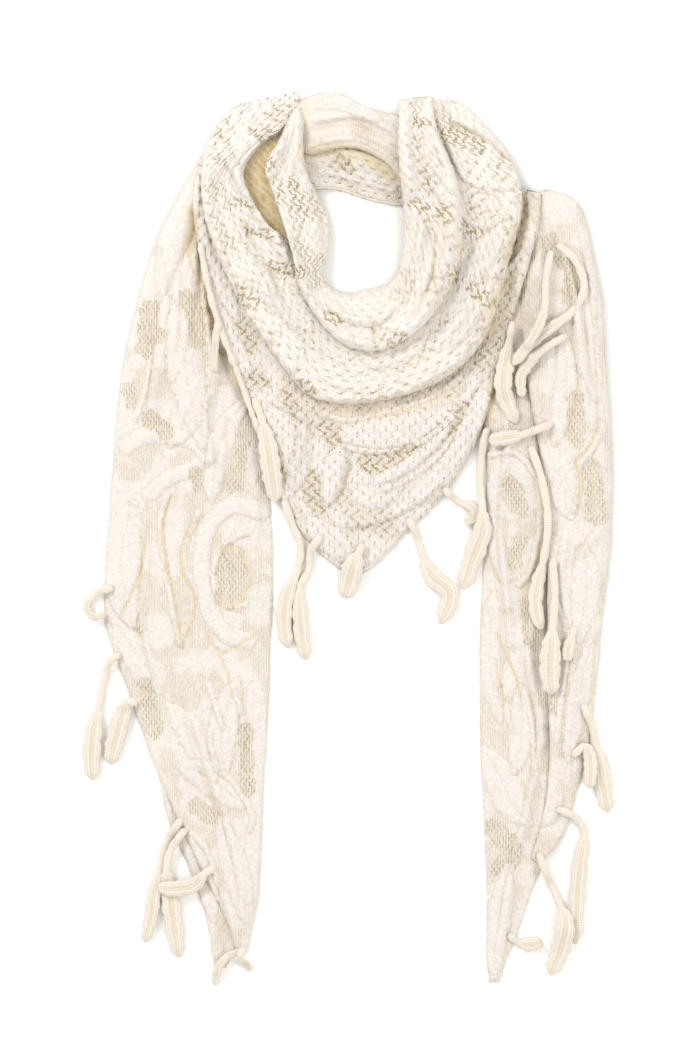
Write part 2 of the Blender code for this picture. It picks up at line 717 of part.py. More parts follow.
# Leaf drops, each from its root on a hem, along its stem, to the tip of its leaf.
DROPS = (
    Drop("drop_left_curl", ((114, 588), (104, 590), (93, 596)), ((87, 606), (93, 616), (107, 614)), 7),
    Drop("drop_left_long", ((121, 654), (110, 662), (103, 685), (99, 708)),
         ((94, 730), (92, 755), (93, 780)), 17),
    Drop("drop_left_short", ((138, 704), (128, 702)), ((122, 718), (115, 742), (110, 764)), 18),
    Drop("drop_left_low_outer", ((182, 818), (168, 840), (161, 866)),
         ((155, 892), (151, 918), (145, 942)), 13),
    Drop("drop_left_low_inner", ((186, 828), (172, 848), (167, 868)),
         ((170, 892), (174, 924), (179, 957)), 18),
    Drop("drop_left_low_cross", ((216, 866), (206, 872)), ((194, 884), (176, 888), (158, 886)), 16),
    Drop("drop_left_tip_leaf", ((240, 950), (228, 956)), ((220, 964), (217, 974), (215, 985)), 8),
    Drop("drop_left_tip_end", ((243, 946), (241, 955)), ((244, 961), (248, 966), (252, 970)), 7),
    Drop("drop_point_cord", ((220, 322), (217, 334)), ((216, 346), (215, 360), (215, 374)), 7),
    Drop("drop_point_flap", ((254, 398), (262, 420)), ((268, 446), (272, 474), (276, 502)), 19),
    Drop("drop_point_left", ((284, 500), (292, 524), (301, 548), (296, 574)),
         ((287, 596), (284, 622), (288, 648)), 15),
    Drop("drop_point_left_pair", ((322, 536), (311, 550), (309, 570), (300, 588)),
         ((300, 610), (302, 636), (306, 660)), 15),
    Drop("drop_point_tip", ((362, 544), (359, 552)), ((353, 566), (349, 582), (344, 598)), 21),
    Drop("drop_point_right", ((408, 518), (416, 534), (423, 556)), ((432, 576), (450, 594), (440, 624)), 19),
    Drop("drop_point_right_curl", ((444, 488), (452, 497), (464, 504)),
         ((474, 508), (475, 518), (464, 521)), 12),
    Drop("drop_right_long", ((487, 428), (482, 452), (480, 482), (482, 508)),
         ((482, 532), (472, 560), (463, 589)), 19),
    Drop("drop_right_top", ((512, 322), (509, 342)), ((505, 364), (503, 392), (516, 424)), 17),
    Drop("drop_right_cross", ((552, 424), (536, 430), (522, 435)), ((512, 437), (500, 439), (488, 441)), 14),
    Drop("drop_right_groove", ((530, 446), (541, 480), (547, 520), (543, 560)),
         ((537, 584), (535, 606), (541, 630)), 14),
    Drop("drop_right_low", ((552, 560), (554, 596), (552, 626)), ((550, 648), (549, 670), (551, 694)), 20),
    Drop("drop_right_low_small", ((574, 626), (571, 636)), ((569, 644), (567, 652), (566, 661)), 12),
    Drop("drop_right_side", ((582, 704), (592, 726), (595, 744)), ((600, 764), (603, 788), (608, 812)), 17),
    Drop("drop_right_side_inner", ((572, 756), (583, 746)), ((589, 754), (590, 770), (589, 788)), 13),
    Drop("drop_right_flap", ((556, 808), (574, 816), (584, 832)), ((580, 862), (577, 900), (576, 944)), 15),
    Drop("drop_right_leaf", ((538, 852), (548, 878), (560, 904)), ((565, 924), (560, 950), (550, 975)), 18),
    Drop("drop_right_tip_cross", ((508, 934), (518, 941)), ((527, 944), (535, 943), (542, 940)), 14),
    Drop("drop_right_loop", ((556, 246), (574, 262), (583, 288), (572, 312)),
         ((548, 330), (528, 346), (512, 366)), 11),
    Drop("drop_right_loop_inner", ((550, 252), (545, 280), (544, 306)),
         ((540, 322), (533, 336), (524, 350)), 9),
    Drop("drop_right_loop_low", ((566, 336), (552, 344), (540, 352)),
         ((530, 362), (520, 378), (522, 398)), 11),
)

# Build

for old in list(bpy.data.objects):
    bpy.data.objects.remove(old)


def yarn(name, colour, roughness):
    material = bpy.data.materials.new(name)
    material.use_nodes = True
    shader = material.node_tree.nodes["Principled BSDF"]
    shader.inputs["Base Color"].default_value = (*colour, 1)
    shader.inputs["Roughness"].default_value = roughness
    shader.inputs["Metallic"].default_value = 0.0
    return material


LACE = yarn("cream_lace", (0.90, 0.85, 0.74), 0.85)
INNER = yarn("cream_lace_in_shade", (0.80, 0.72, 0.56), 0.9)
KNIT = yarn("cream_knitted_drop", (0.92, 0.87, 0.77), 0.8)

SHAWL = bpy.data.objects.new("shawl", None)
bpy.context.scene.collection.objects.link(SHAWL)

HEAP = Heap()
hidden_layers()
stretch("left_end_under", LEFT_UNDER_END, 10, 3, hems=("left",))
stretch("left_end", LEFT_END, 38, 8, LEFT_END_FOLDS, hems=("left",), arch=6)
stretch("right_end_inner", RIGHT_INNER_END, 30, 6, RIGHT_INNER_FOLDS, arch=6)
stretch("right_end_outer", RIGHT_OUTER_END, 34, 6, RIGHT_OUTER_FOLDS, hems=("left",), arch=4)
stretch("neck_back_inner", NECK_BACK_INNER, 9, 4)
stretch("neck_back_outer", NECK_BACK_OUTER, 12, 7, NECK_BACK_OUTER_FOLDS)
stretch("point_drape", POINT_DRAPE, 42, 9, POINT_DRAPE_FOLDS, hems=("left",), arch=4)
stretch("middle_swag", MIDDLE_SWAG, 40, 7, MIDDLE_SWAG_FOLDS, arch=3)
stretch("inner_swag", INNER_SWAG, 38, 6, INNER_SWAG_FOLDS)
for drop in DROPS:
    leaf_drop(drop)
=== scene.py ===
import math
from collections import namedtuple

import bmesh
import bpy
import numpy as np
from mathutils import Matrix, Vector, noise
from mathutils.bvhtree import BVHTree


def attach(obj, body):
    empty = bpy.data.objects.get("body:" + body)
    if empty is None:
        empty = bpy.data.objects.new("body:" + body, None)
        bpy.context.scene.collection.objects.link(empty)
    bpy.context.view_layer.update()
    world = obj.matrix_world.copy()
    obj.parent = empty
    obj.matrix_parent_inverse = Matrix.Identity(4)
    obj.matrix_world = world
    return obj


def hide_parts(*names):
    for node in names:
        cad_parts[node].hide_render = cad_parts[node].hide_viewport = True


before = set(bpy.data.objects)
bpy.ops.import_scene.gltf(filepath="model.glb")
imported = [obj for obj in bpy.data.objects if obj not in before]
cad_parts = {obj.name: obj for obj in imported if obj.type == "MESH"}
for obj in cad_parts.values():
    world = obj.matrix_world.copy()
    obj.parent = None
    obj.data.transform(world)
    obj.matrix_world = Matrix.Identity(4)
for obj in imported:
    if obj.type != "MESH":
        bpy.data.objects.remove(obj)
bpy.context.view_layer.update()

MM = 0.001
LAID_LENGTH = 0.670
MIDDLE_COLUMN = 345.5
MIDDLE_ROW = 539.0
PIXEL = LAID_LENGTH / 894

# Real sizes of the knitting, and how many times higher its figures stand than their strokes say
CLOTH_THICKNESS = 0.85 * MM
BELOW_TOP = 0.75 * MM
EDGE_TURN = 2.4 * MM
FIGURE_RELIEF = 1.7
CURL_RISE = 0.22 * MM
PIT_DEPTH = 0.28 * MM
HOLE_DEPTH = 1.2 * MM
END_TUCKS = {"inner_swag": (17, 6), "middle_swag": (5, 4)}
STEM_RADIUS = 2.9 * MM
STEM_HALF_HEIGHT = 2.0 * MM
LEAF_HALF_HEIGHT = 3.2 * MM

Section = namedtuple("Section", "left right")
Hem = namedtuple("Hem", "side begin end radius")
Net = namedtuple("Net", "pitch gap across down")
Cloth = namedtuple("Cloth", "node hangs sections net openness hems flat area held")
Stroke = namedtuple("Stroke", "kind half_width rise path")
Drop = namedtuple("Drop", "name stem leaf leaf_width")

# Outlines of the stretches of cloth, in picture pixels. Six are the same as in the solids. The two
# swags are drawn closer, and the right end's inner panel reaches further up, under the drops.

LEFT_END = (
    Section((205, 152), (226, 160)),
    Section((186, 186), (222, 196)),
    Section((161, 232), (224, 242)),
    Section((148, 268), (228, 280)),
    Section((132, 328), (236, 325)),
    Section((121, 386), (248, 385)),
    Section((115, 450), (262, 445)),
    Section((111, 510), (270, 505)),
    Section((107, 570), (273, 565)),
    Section((106, 622), (271, 625)),
    Section((123, 675), (269, 685)),
    Section((141, 725), (266, 740)),
    Section((160, 775), (262, 800)),
    Section((181, 825), (260, 850)),
    Section((205, 875), (257, 895)),
    Section((226, 918), (251, 930)),
    Section((236, 950), (244, 956)),
)
LEFT_UNDER_END = (
    Section((148, 730), (205, 740)),
    Section((160, 780), (225, 790)),
    Section((170, 825), (235, 835)),
    Section((187, 862), (243, 875)),
    Section((201, 900), (246, 910)),
    Section((210, 935), (240, 938)),
    Section((214, 966), (226, 968)),
)
RIGHT_INNER_END = (
    Section((514, 262), (534, 262)),
    Section((498, 312), (536, 312)),
    Section((486, 356), (538, 356)),
    Section((478, 395), (540, 395)),
    Section((486, 445), (545, 445)),
    Section((487, 500), (556, 500)),
    Section((484, 560), (562, 560)),
    Section((481, 620), (568, 620)),
    Section((480, 680), (574, 680)),
    Section((481, 740), (572, 740)),
    Section((483, 800), (562, 800)),
    Section((485, 850), (548, 850)),
    Section((487, 890), (532, 890)),
    Section((488, 925), (520, 925)),
    Section((487, 955), (508, 955)),
    Section((490, 982), (499, 982)),
)
RIGHT_OUTER_END = (
    Section((508, 202), (548, 190)),
    Section((511, 224), (574, 200)),
    Section((513, 248), (586, 224)),
    Section((515, 274), (592, 258)),
    Section((519, 306), (600, 295)),
    Section((523, 350), (603, 340)),
    Section((530, 398), (607, 390)),
    Section((539, 447), (611, 450)),
    Section((545, 503), (611, 510)),
    Section((547, 562), (607, 570)),
    Section((547, 620), (601, 626)),
    Section((547, 670), (596, 682)),
    Section((549, 722), (590, 736)),
    Section((549, 772), (578, 787)),
    Section((541, 822), (563, 834)),
    Section((531, 858), (540, 864)),
)
NECK_BACK_INNER = (
    Section((294, 154), (302, 192)),
    Section((314, 148), (322, 189)),
    Section((336, 145), (343, 191)),
    Section((360, 148), (366, 199)),
    Section((386, 156), (390, 204)),
    Section((412, 162), (412, 206)),
)
NECK_BACK_OUTER = (
    Section((294, 114), (296, 150)),
    Section((306, 99), (310, 156)),
    Section((336, 93), (340, 149)),
    Section((362, 106), (364, 152)),
    Section((384, 113), (388, 166)),
    Section((402, 118), (402, 182)),
    Section((414, 130), (412, 184)),
)
POINT_DRAPE = (
    Section((200, 166), (224, 172)),
    Section((195, 188), (228, 190)),
    Section((194, 214), (232, 212)),
    Section((198, 244), (240, 238)),
    Section((206, 287), (256, 268)),
    Section((217, 326), (276, 300)),
    Section((236, 376), (298, 334)),
    Section((258, 436), (320, 366)),
    Section((290, 518), (346, 380)),
    Section((354, 574), (368, 382)),
    Section((410, 528), (394, 380)),
    Section((446, 492), (424, 366)),
    Section((474, 446), (450, 344)),
    Section((489, 402), (470, 316)),
    Section((501, 358), (482, 288)),
    Section((514, 312), (488, 262)),
    Section((527, 268), (492, 236)),
    Section((537, 228), (492, 208)),
    Section((540, 194), (490, 182)),
)
MIDDLE_SWAG = (
    Section((238, 104), (298, 92)),
    Section((217, 127), (300, 103)),
    Section((206, 154), (296, 122)),
    Section((203, 178), (262, 146)),
    Section((203, 202), (244, 172)),
    Section((209, 230), (251, 198)),
    Section((220, 260), (268, 226)),
    Section((235, 292), (294, 248)),
    Section((254, 324), (314, 280)),
    Section((278, 360), (332, 304)),
    Section((304, 392), (348, 320)),
    Section((334, 403), (360, 328)),
    Section((368, 403), (374, 328)),
    Section((402, 396), (388, 320)),
    Section((436, 383), (404, 308)),
    Section((464, 363), (420, 292)),
    Section((484, 338), (432, 272)),
    Section((497, 306), (440, 250)),
    Section((504, 276), (444, 230)),
    Section((513, 246), (446, 208)),
    Section((520, 214), (446, 188)),
    Section((519, 186), (442, 168)),
    Section((505, 154), (434, 150)),
    Section((484, 126), (430, 134)),
    Section((462, 104), (418, 108)),
    Section((448, 98), (414, 98)),
)
INNER_SWAG = (
    Section((296, 100), (306, 98)),
    Section((289, 118), (304, 118)),
    Section((279, 144), (303, 146)),
    Section((266, 168), (306, 172)),
    Section((274, 196), (318, 198)),
    Section((284, 226), (328, 222)),
    Section((293, 256), (328, 250)),
    Section((300, 288), (322, 276)),
    Section((318, 320), (334, 290)),
    Section((342, 344), (354, 294)),
    Section((370, 352), (370, 290)),
    Section((394, 346), (386, 286)),
    Section((418, 331), (398, 274)),
    Section((438, 308), (403, 252)),
    Section((452, 282), (404, 230)),
    Section((460, 250), (404, 206)),
    Section((462, 218), (401, 186)),
    Section((458, 190), (399, 166)),
    Section((448, 162), (398, 144)),
    Section((436, 132), (399, 122)),
    Section((432, 96), (399, 99)),
)

# How the net is knitted: the lattice's pitch in pixels, how many columns of each mesh are gap,
# and how many columns and rows a mesh has.
STRAIGHT_NET = Net((1.36, 1.7), 1, 2, 4)
DIAMOND_NET = Net((1.42, 1.6), 3, 4, 4)

# Each stretch of cloth: its solid, whether its lattice hangs straight down the plan, its net,
# how much of its ground is open, its rolled edges and its flat cut.
CLOTHS = (
    Cloth("left_end_under", True, LEFT_UNDER_END, STRAIGHT_NET, 0.60,
          (), (0.048, 0.178), 0.0067, "laid"),
    Cloth("left_end", True, LEFT_END, STRAIGHT_NET, 0.62,
          (), (0.126, 0.620), 0.0540, "laid"),
    Cloth("right_end_inner", True, RIGHT_INNER_END, STRAIGHT_NET, 0.62,
          (), (0.072, 0.444), 0.0250, "laid"),
    Cloth("right_end_outer", True, RIGHT_OUTER_END, STRAIGHT_NET, 0.58,
          (), (0.066, 0.520), 0.0240, "laid"),
    Cloth("neck_back_inner", False, NECK_BACK_INNER, DIAMOND_NET, 0.50,
          (Hem("right", 0, 5, 1.0),), (0.034, 0.090), 0.0029, "folded"),
    Cloth("neck_back_outer", False, NECK_BACK_OUTER, STRAIGHT_NET, 0.45,
          (), (0.044, 0.092), 0.0037, "folded"),
    Cloth("point_drape", True, POINT_DRAPE, DIAMOND_NET, 0.60,
          (Hem("left", 3, 8, 3.0),), (0.250, 0.330), 0.0380, "laid"),
    Cloth("middle_swag", False, MIDDLE_SWAG, DIAMOND_NET, 0.60,
          (), (0.058, 0.590), 0.0310, "folded"),
    Cloth("inner_swag", False, INNER_SWAG, DIAMOND_NET, 0.60,
          (), (0.042, 0.470), 0.0170, "folded"),
)

# The stretches that lie over each one and shade it.
LIES_UNDER = {
    "left_end_under": ("left_end",),
    "left_end": ("point_drape",),
    "right_end_inner": ("right_end_outer", "point_drape"),
    "right_end_outer": ("point_drape",),
    "neck_back_inner": ("neck_back_outer", "inner_swag"),
    "neck_back_outer": ("inner_swag", "middle_swag"),
    "point_drape": ("middle_swag",),
    "middle_swag": ("inner_swag",),
}

# The lace's figures and the creases, in picture pixels and millimetres. Leaves taper to both
# ends, bands keep their width, cords outline a figure, nets open the ground, creases stand up
# as soft ridges and troughs sink. Figures get a painted shadow on their side away from the light,
# seams, troughs and crease feet get painted shade, and hollows only paint shade, their rise
# setting its strength.
STROKES = (
    # left end, upper part
    Stroke("leaf", 13, 1.1, ((205, 152), (190, 200), (172, 250), (160, 300))),
    Stroke("leaf", 12, 1.1, ((196, 240), (186, 290), (178, 340), (172, 380))),
    Stroke("leaf", 15, 1.3, ((204, 376), (196, 400), (184, 425), (172, 444))),
    Stroke("band", 8, 1.2, ((128, 446), (146, 436), (170, 436), (198, 444), (207, 456))),
    Stroke("band", 7, 1.0, ((207, 460), (190, 470), (170, 478), (150, 494))),
    Stroke("leaf", 20, 1.3, ((134, 505), (124, 540), (122, 580), (132, 624))),
    Stroke("cord", 2.6, 1.2, ((168, 496), (161, 523), (165, 564), (174, 611), (180, 645))),
    Stroke("cord", 2.6, 1.2, ((200, 513), (186, 543), (184, 568), (194, 584), (192, 615), (180, 643))),
    Stroke("band", 8, 1.3, ((262, 512), (234, 506), (210, 524), (202, 560), (206, 600), (224, 632),
           (248, 640))),
    Stroke("cord", 2.4, 1.0, ((250, 532), (231, 540), (216, 560), (214, 586), (226, 606), (246, 604))),
    Stroke("net", 15, 0, ((232, 558), (231, 594))),
    Stroke("net", 9, 0, ((150, 418), (166, 432))),
    Stroke("net", 8, 0, ((196, 474), (200, 486))),
    Stroke("net", 8, 0, ((128, 390), (134, 402))),
    Stroke("net", 8, 0, ((137, 634), (137, 664))),
    Stroke("net", 10, 0, ((238, 410), (240, 440), (234, 484))),
    Stroke("leaf", 12, 1.2, ((248, 400), (226, 430), (216, 470), (212, 500))),
    Stroke("leaf", 15, 1.0, ((116, 622), (134, 650), (152, 676), (160, 690))),
    Stroke("cord", 2.2, 0.9, ((140, 300), (150, 340), (148, 380), (136, 420))),
    Stroke("cord", 2.2, 0.9, ((196, 320), (210, 350), (208, 384))),
    Stroke("net", 10, 0, ((150, 310), (146, 350))),
    Stroke("net", 8, 0, ((214, 300), (222, 350))),
    Stroke("crease", 7, 2.6, ((176, 224), (166, 270), (164, 330), (154, 392), (150, 440))),
    Stroke("crease", 6, 2.4, ((205, 210), (204, 260), (208, 320), (214, 372), (206, 420), (214, 470))),
    Stroke("crease", 5, 2.0, ((140, 500), (146, 560), (142, 620), (160, 690))),
    Stroke("trough", 4, -1.2, ((188, 222), (182, 280), (180, 340), (176, 372))),
    Stroke("trough", 4, -1.0, ((224, 400), (228, 450), (220, 500))),
    Stroke("trough", 6, -1.8, ((196, 205), (200, 240), (203, 270), (209, 305), (216, 335), (228, 372),
           (246, 408))),
    Stroke("trough", 5, -2.2, ((191, 206), (193, 226), (191, 246), (188, 260))),
    Stroke("seam", 2.0, -0.5, ((188, 254), (192, 264), (195, 276))),
    Stroke("leaf", 17, 1.3, ((175, 310), (182, 340), (188, 376), (194, 408), (203, 444))),
    Stroke("band", 16, 0.6, ((176, 236), (182, 262), (184, 288))),
    Stroke("net", 10, 0, ((188, 300), (196, 312), (198, 340))),
    Stroke("net", 6, 0, ((148, 318), (160, 334))),
    Stroke("seam", 2.4, -0.6, ((177, 488), (167, 507), (163, 534), (167, 568), (173, 591), (178, 620),
           (180, 647))),
    Stroke("seam", 2.4, -0.6, ((203, 513), (190, 530), (182, 553), (186, 580), (194, 593), (192, 616),
           (180, 645))),
    Stroke("seam", 2.0, -0.4, ((219, 553), (230, 547), (242, 553), (250, 582), (234, 605), (222, 598))),
    Stroke("seam", 2.0, -0.4, ((146, 535), (143, 562), (134, 590), (120, 617))),
    Stroke("seam", 1.8, -0.3, ((207, 633), (222, 652), (246, 640), (268, 626))),
    Stroke("seam", 1.8, -0.3, ((205, 633), (222, 658), (234, 698))),
    # left end, lower part
    Stroke("leaf", 15, 1.2, ((170, 706), (190, 730), (204, 752), (214, 778))),
    Stroke("leaf", 16, 1.2, ((180, 766), (204, 774), (222, 786), (240, 806))),
    Stroke("leaf", 14, 1.4, ((238, 680), (228, 708), (222, 742), (226, 772))),
    Stroke("band", 9, 1.0, ((256, 690), (258, 740), (256, 800), (254, 850), (252, 896))),
    Stroke("cord", 2.4, 1.0, ((209, 735), (217, 767), (235, 783), (252, 814), (250, 830))),
    Stroke("cord", 2.2, 0.9, ((209, 684), (223, 727))),
    Stroke("cord", 2.2, 0.9, ((235, 692), (241, 710), (243, 739), (238, 771))),
    Stroke("net", 9, 0, ((146, 684), (156, 730))),
    Stroke("net", 9, 0, ((196, 806), (214, 818))),
    Stroke("net", 8, 0, ((246, 730), (248, 790))),
    Stroke("leaf", 13, 1.1, ((222, 820), (230, 850), (240, 884), (246, 920))),
    Stroke("leaf", 12, 1.1, ((180, 828), (196, 850), (206, 880), (214, 920))),
    Stroke("crease", 5, 2.0, ((190, 700), (206, 760), (226, 820), (240, 880), (244, 930))),
    Stroke("crease", 4, 1.6, ((170, 775), (181, 818), (207, 850), (217, 880), (231, 917), (235, 951))),
    Stroke("trough", 4, -1.0, ((176, 690), (190, 740), (208, 790), (232, 840))),
    # right end, inner panel
    Stroke("cord", 3.0, 1.4, ((490, 455), (515, 453), (535, 475), (540, 501), (539, 534), (529, 572),
           (519, 584))),
    Stroke("band", 7, 1.0, ((498, 470), (492, 500), (494, 540), (504, 576))),
    Stroke("net", 11, 0, ((510, 486), (518, 506))),
    Stroke("net", 8, 0, ((520, 540), (514, 562))),
    Stroke("leaf", 10, 1.1, ((494, 590), (490, 630), (492, 680), (500, 720))),
    Stroke("net", 9, 0, ((528, 604), (532, 642))),
    Stroke("cord", 2.2, 0.9, ((497, 680), (504, 704), (512, 731))),
    Stroke("cord", 2.2, 0.9, ((526, 692), (532, 730), (534, 767))),
    Stroke("leaf", 12, 1.3, ((520, 686), (522, 715), (520, 745), (514, 772))),
    Stroke("leaf", 17, 1.1, ((484, 750), (500, 776), (510, 800), (528, 822))),
    Stroke("net", 10, 0, ((548, 700), (566, 716), (568, 752))),
    Stroke("net", 11, 0, ((494, 830), (512, 850), (502, 868))),
    Stroke("leaf", 11, 1.2, ((540, 776), (552, 790), (548, 812), (540, 824))),
    Stroke("leaf", 11, 1.1, ((508, 866), (502, 900), (496, 940), (494, 976))),
    Stroke("crease", 5, 2.2, ((504, 404), (506, 450), (500, 520), (506, 600), (512, 660))),
    Stroke("crease", 5, 2.2, ((536, 600), (528, 660), (540, 730), (528, 800), (512, 870), (498, 950))),
    Stroke("trough", 4, -1.4, ((531, 447), (545, 477), (547, 522), (545, 552), (535, 578))),
    Stroke("seam", 2.2, -0.5, ((496, 633), (506, 655), (516, 677), (520, 700))),
    Stroke("seam", 2.2, -0.5, ((496, 661), (499, 685), (504, 704))),
    Stroke("seam", 2.2, -0.5, ((492, 566), (496, 574), (500, 582))),
    Stroke("net", 4, 0, ((521, 500), (524, 514))),
    # right end, outer panel
    Stroke("seam", 2.4, -0.6, ((598, 426), (590, 446), (576, 462), (580, 480), (578, 494), (570, 504))),
    Stroke("net", 7, 0, ((572, 418), (578, 430))),
    Stroke("cord", 2.8, 1.4, ((602, 427), (590, 451), (577, 467), (579, 485), (573, 510))),
    Stroke("leaf", 13, 1.2, ((572, 466), (566, 480), (564, 500), (570, 516))),
    Stroke("net", 10, 0, ((592, 470), (596, 516))),
    Stroke("crease", 5, 2.0, ((602, 522), (590, 540), (575, 558))),
    Stroke("leaf", 14, 1.1, ((584, 548), (586, 575), (584, 604), (578, 640))),
    Stroke("leaf", 12, 1.2, ((592, 280), (584, 320), (588, 360), (596, 400))),
    Stroke("leaf", 11, 1.2, ((560, 330), (566, 370), (562, 410), (554, 444))),
    Stroke("net", 9, 0, ((574, 400), (576, 440))),
    Stroke("net", 8, 0, ((572, 270), (568, 300))),
    Stroke("net", 9, 0, ((548, 244), (562, 262))),
    Stroke("leaf", 10, 1.1, ((590, 640), (582, 680), (574, 720), (568, 760))),
    Stroke("cord", 2.4, 1.0, ((556, 600), (568, 640), (562, 690), (556, 740))),
    Stroke("crease", 6, 3.2, ((548, 214), (562, 250), (574, 300), (580, 370), (590, 430))),
    Stroke("crease", 5, 2.6, ((578, 222), (588, 270), (596, 330), (600, 400), (602, 470))),
    Stroke("crease", 5, 2.0, ((566, 520), (560, 580), (572, 650), (566, 720))),
    Stroke("trough", 4, -1.6, ((556, 224), (570, 268), (582, 318), (590, 380))),
    # painted tan shade in the gaps between layers
    Stroke("hollow", 7, 1.1, ((304, 154), (330, 151), (352, 153), (378, 166), (400, 186))),
    Stroke("hollow", 5, 0.9, ((376, 114), (388, 108), (400, 108))),
    Stroke("hollow", 5, 1.0, ((526, 196), (520, 228), (502, 264))),
    Stroke("hollow", 5, 0.9, ((522, 272), (506, 284), (496, 296), (484, 330))),
    Stroke("hollow", 5, 0.9, ((510, 306), (496, 322), (484, 342))),
    Stroke("hollow", 5, 1.1, ((203, 268), (206, 290), (210, 310), (215, 332))),
    Stroke("hollow", 5, 1.0, ((190, 208), (193, 228), (188, 256))),
    Stroke("hollow", 9, 0.35, ((300, 398), (330, 412), (370, 416), (420, 406), (456, 384))),
    Stroke("hollow", 5, 0.7, ((222, 344), (236, 378), (250, 408), (270, 440), (284, 476))),
    Stroke("hollow", 4, 0.6, ((532, 444), (540, 492), (542, 524), (538, 552), (526, 580), (518, 604))),
    Stroke("hollow", 5, 0.8, ((488, 378), (494, 400), (490, 424))),
    # back of the neck
    Stroke("crease", 5, 2.2, ((306, 127), (326, 120), (357, 118), (384, 128), (408, 146))),
    Stroke("crease", 4, 1.6, ((304, 150), (330, 142), (360, 142), (390, 158), (404, 176))),
    Stroke("trough", 3, -1.4, ((310, 134), (334, 128), (362, 130), (390, 144))),
    Stroke("trough", 3, -1.0, ((312, 146), (336, 136), (362, 138), (392, 152))),
    Stroke("leaf", 8, 0.9, ((318, 108), (340, 104), (362, 112), (380, 122))),
    Stroke("net", 6, 0, ((342, 160), (349, 170))),
    Stroke("cord", 2.2, 0.8, ((318, 172), (340, 176), (368, 184), (396, 192))),
    # loop, left side
    Stroke("crease", 6, 3.2, ((300, 98), (292, 128), (276, 158), (264, 184), (268, 214), (290, 262))),
    Stroke("leaf", 9, 1.0, ((298, 110), (292, 140), (286, 168), (292, 190))),
    Stroke("net", 6, 0, ((292, 182), (298, 200), (302, 212))),
    Stroke("net", 4.5, 0, ((281, 190), (282, 204))),
    Stroke("net", 6, 0, ((267, 163), (274, 172))),
    Stroke("net", 7, 0, ((256, 132), (266, 138))),
    Stroke("cord", 2.2, 1.0, ((263, 176), (263, 160), (275, 156), (279, 170), (268, 180))),
    Stroke("trough", 6, -2.2, ((268, 136), (258, 154), (252, 172), (262, 196))),
    Stroke("crease", 5, 2.6, ((214, 140), (230, 166), (246, 196), (262, 222), (284, 258), (308, 290))),
    Stroke("leaf", 12, 1.2, ((222, 150), (236, 180), (240, 200), (246, 224))),
    Stroke("net", 7, 0, ((236, 204), (258, 214))),
    Stroke("leaf", 11, 1.3, ((240, 212), (254, 222), (268, 228), (280, 244))),
    Stroke("net", 6, 0, ((250, 235), (270, 236))),
    Stroke("leaf", 12, 1.2, ((250, 242), (268, 254), (284, 262), (302, 268))),
    Stroke("net", 8, 0, ((272, 270), (298, 274))),
    Stroke("leaf", 13, 1.2, ((262, 268), (274, 290), (290, 310), (312, 330))),
    Stroke("crease", 5, 3.0, ((201, 205), (215, 235), (230, 273), (250, 315), (276, 352), (304, 384),
           (330, 396))),
    Stroke("crease", 4, 2.4, ((232, 206), (245, 240), (264, 270), (282, 312), (310, 344), (338, 360))),
    Stroke("trough", 4, -2.0, ((206, 214), (219, 243), (236, 281), (256, 320), (284, 356))),
    Stroke("trough", 3.5, -1.8, ((237, 204), (250, 238), (268, 268), (288, 308))),
    Stroke("net", 7, 0, ((240, 294), (254, 304))),
    Stroke("net", 9, 0, ((238, 328), (250, 346))),
    Stroke("leaf", 10, 1.2, ((206, 220), (216, 256), (226, 290), (238, 320))),
    Stroke("leaf", 9, 1.1, ((216, 300), (226, 330), (240, 360), (252, 378))),
    # loop, front
    Stroke("crease", 6, 2.6, ((322, 292), (340, 316), (364, 324), (384, 318), (400, 296))),
    Stroke("leaf", 12, 1.2, ((300, 304), (322, 322), (340, 336), (352, 352))),
    Stroke("leaf", 13, 1.3, ((352, 340), (376, 358), (404, 350), (428, 326))),
    Stroke("net", 6, 0, ((328, 316), (338, 324))),
    Stroke("net", 6, 0, ((392, 344), (402, 338))),
    Stroke("net", 6, 0, ((458, 338), (468, 326))),
    Stroke("net", 8, 0, ((480, 360), (494, 344))),
    Stroke("net", 5, 0, ((368, 382), (382, 384))),
    Stroke("net", 6, 0, ((304, 384), (314, 390))),
    Stroke("trough", 5, -2.6, ((370, 316), (373, 334), (377, 354))),
    Stroke("leaf", 11, 1.2, ((308, 346), (330, 372), (356, 384), (384, 384))),
    Stroke("leaf", 11, 1.2, ((396, 380), (424, 374), (450, 356), (474, 330))),
    Stroke("crease", 4, 2.2, ((318, 398), (350, 400), (394, 395), (434, 377), (464, 356), (492, 318))),
    Stroke("trough", 6, -1.6, ((314, 404), (346, 412), (384, 412), (424, 402), (452, 386))),
    Stroke("cord", 2.4, 1.0, ((326, 416), (352, 420), (392, 410), (430, 398), (458, 378))),
    # the point
    Stroke("leaf", 16, 1.6, ((340, 438), (366, 434), (394, 432), (420, 424), (448, 408))),
    Stroke("cord", 2.4, 1.2, ((346, 447), (372, 452), (400, 450), (424, 440), (446, 424))),
    Stroke("net", 11, 0, ((366, 462), (386, 462), (412, 454))),
    Stroke("band", 5, 1.6, ((376, 482), (404, 468), (431, 447), (447, 427), (461, 405), (476, 380))),
    Stroke("cord", 2.2, 1.0, ((384, 490), (410, 478), (436, 458), (452, 436))),
    Stroke("net", 8, 0, ((462, 408), (456, 432))),
    Stroke("net", 9, 0, ((326, 424), (334, 440))),
    Stroke("net", 12, 0, ((310, 478), (316, 500))),
    Stroke("net", 7, 0, ((286, 394), (294, 408))),
    Stroke("net", 6, 0, ((253, 378), (268, 384))),
    Stroke("leaf", 11, 2.4, ((340, 446), (336, 462), (332, 482), (327, 504))),
    Stroke("trough", 5, -2.0, ((350, 450), (347, 470), (341, 488), (334, 506))),
    Stroke("leaf", 14, 1.3, ((256, 396), (272, 412), (284, 436), (286, 470))),
    Stroke("leaf", 9, 1.2, ((300, 424), (304, 444), (298, 470), (292, 494))),
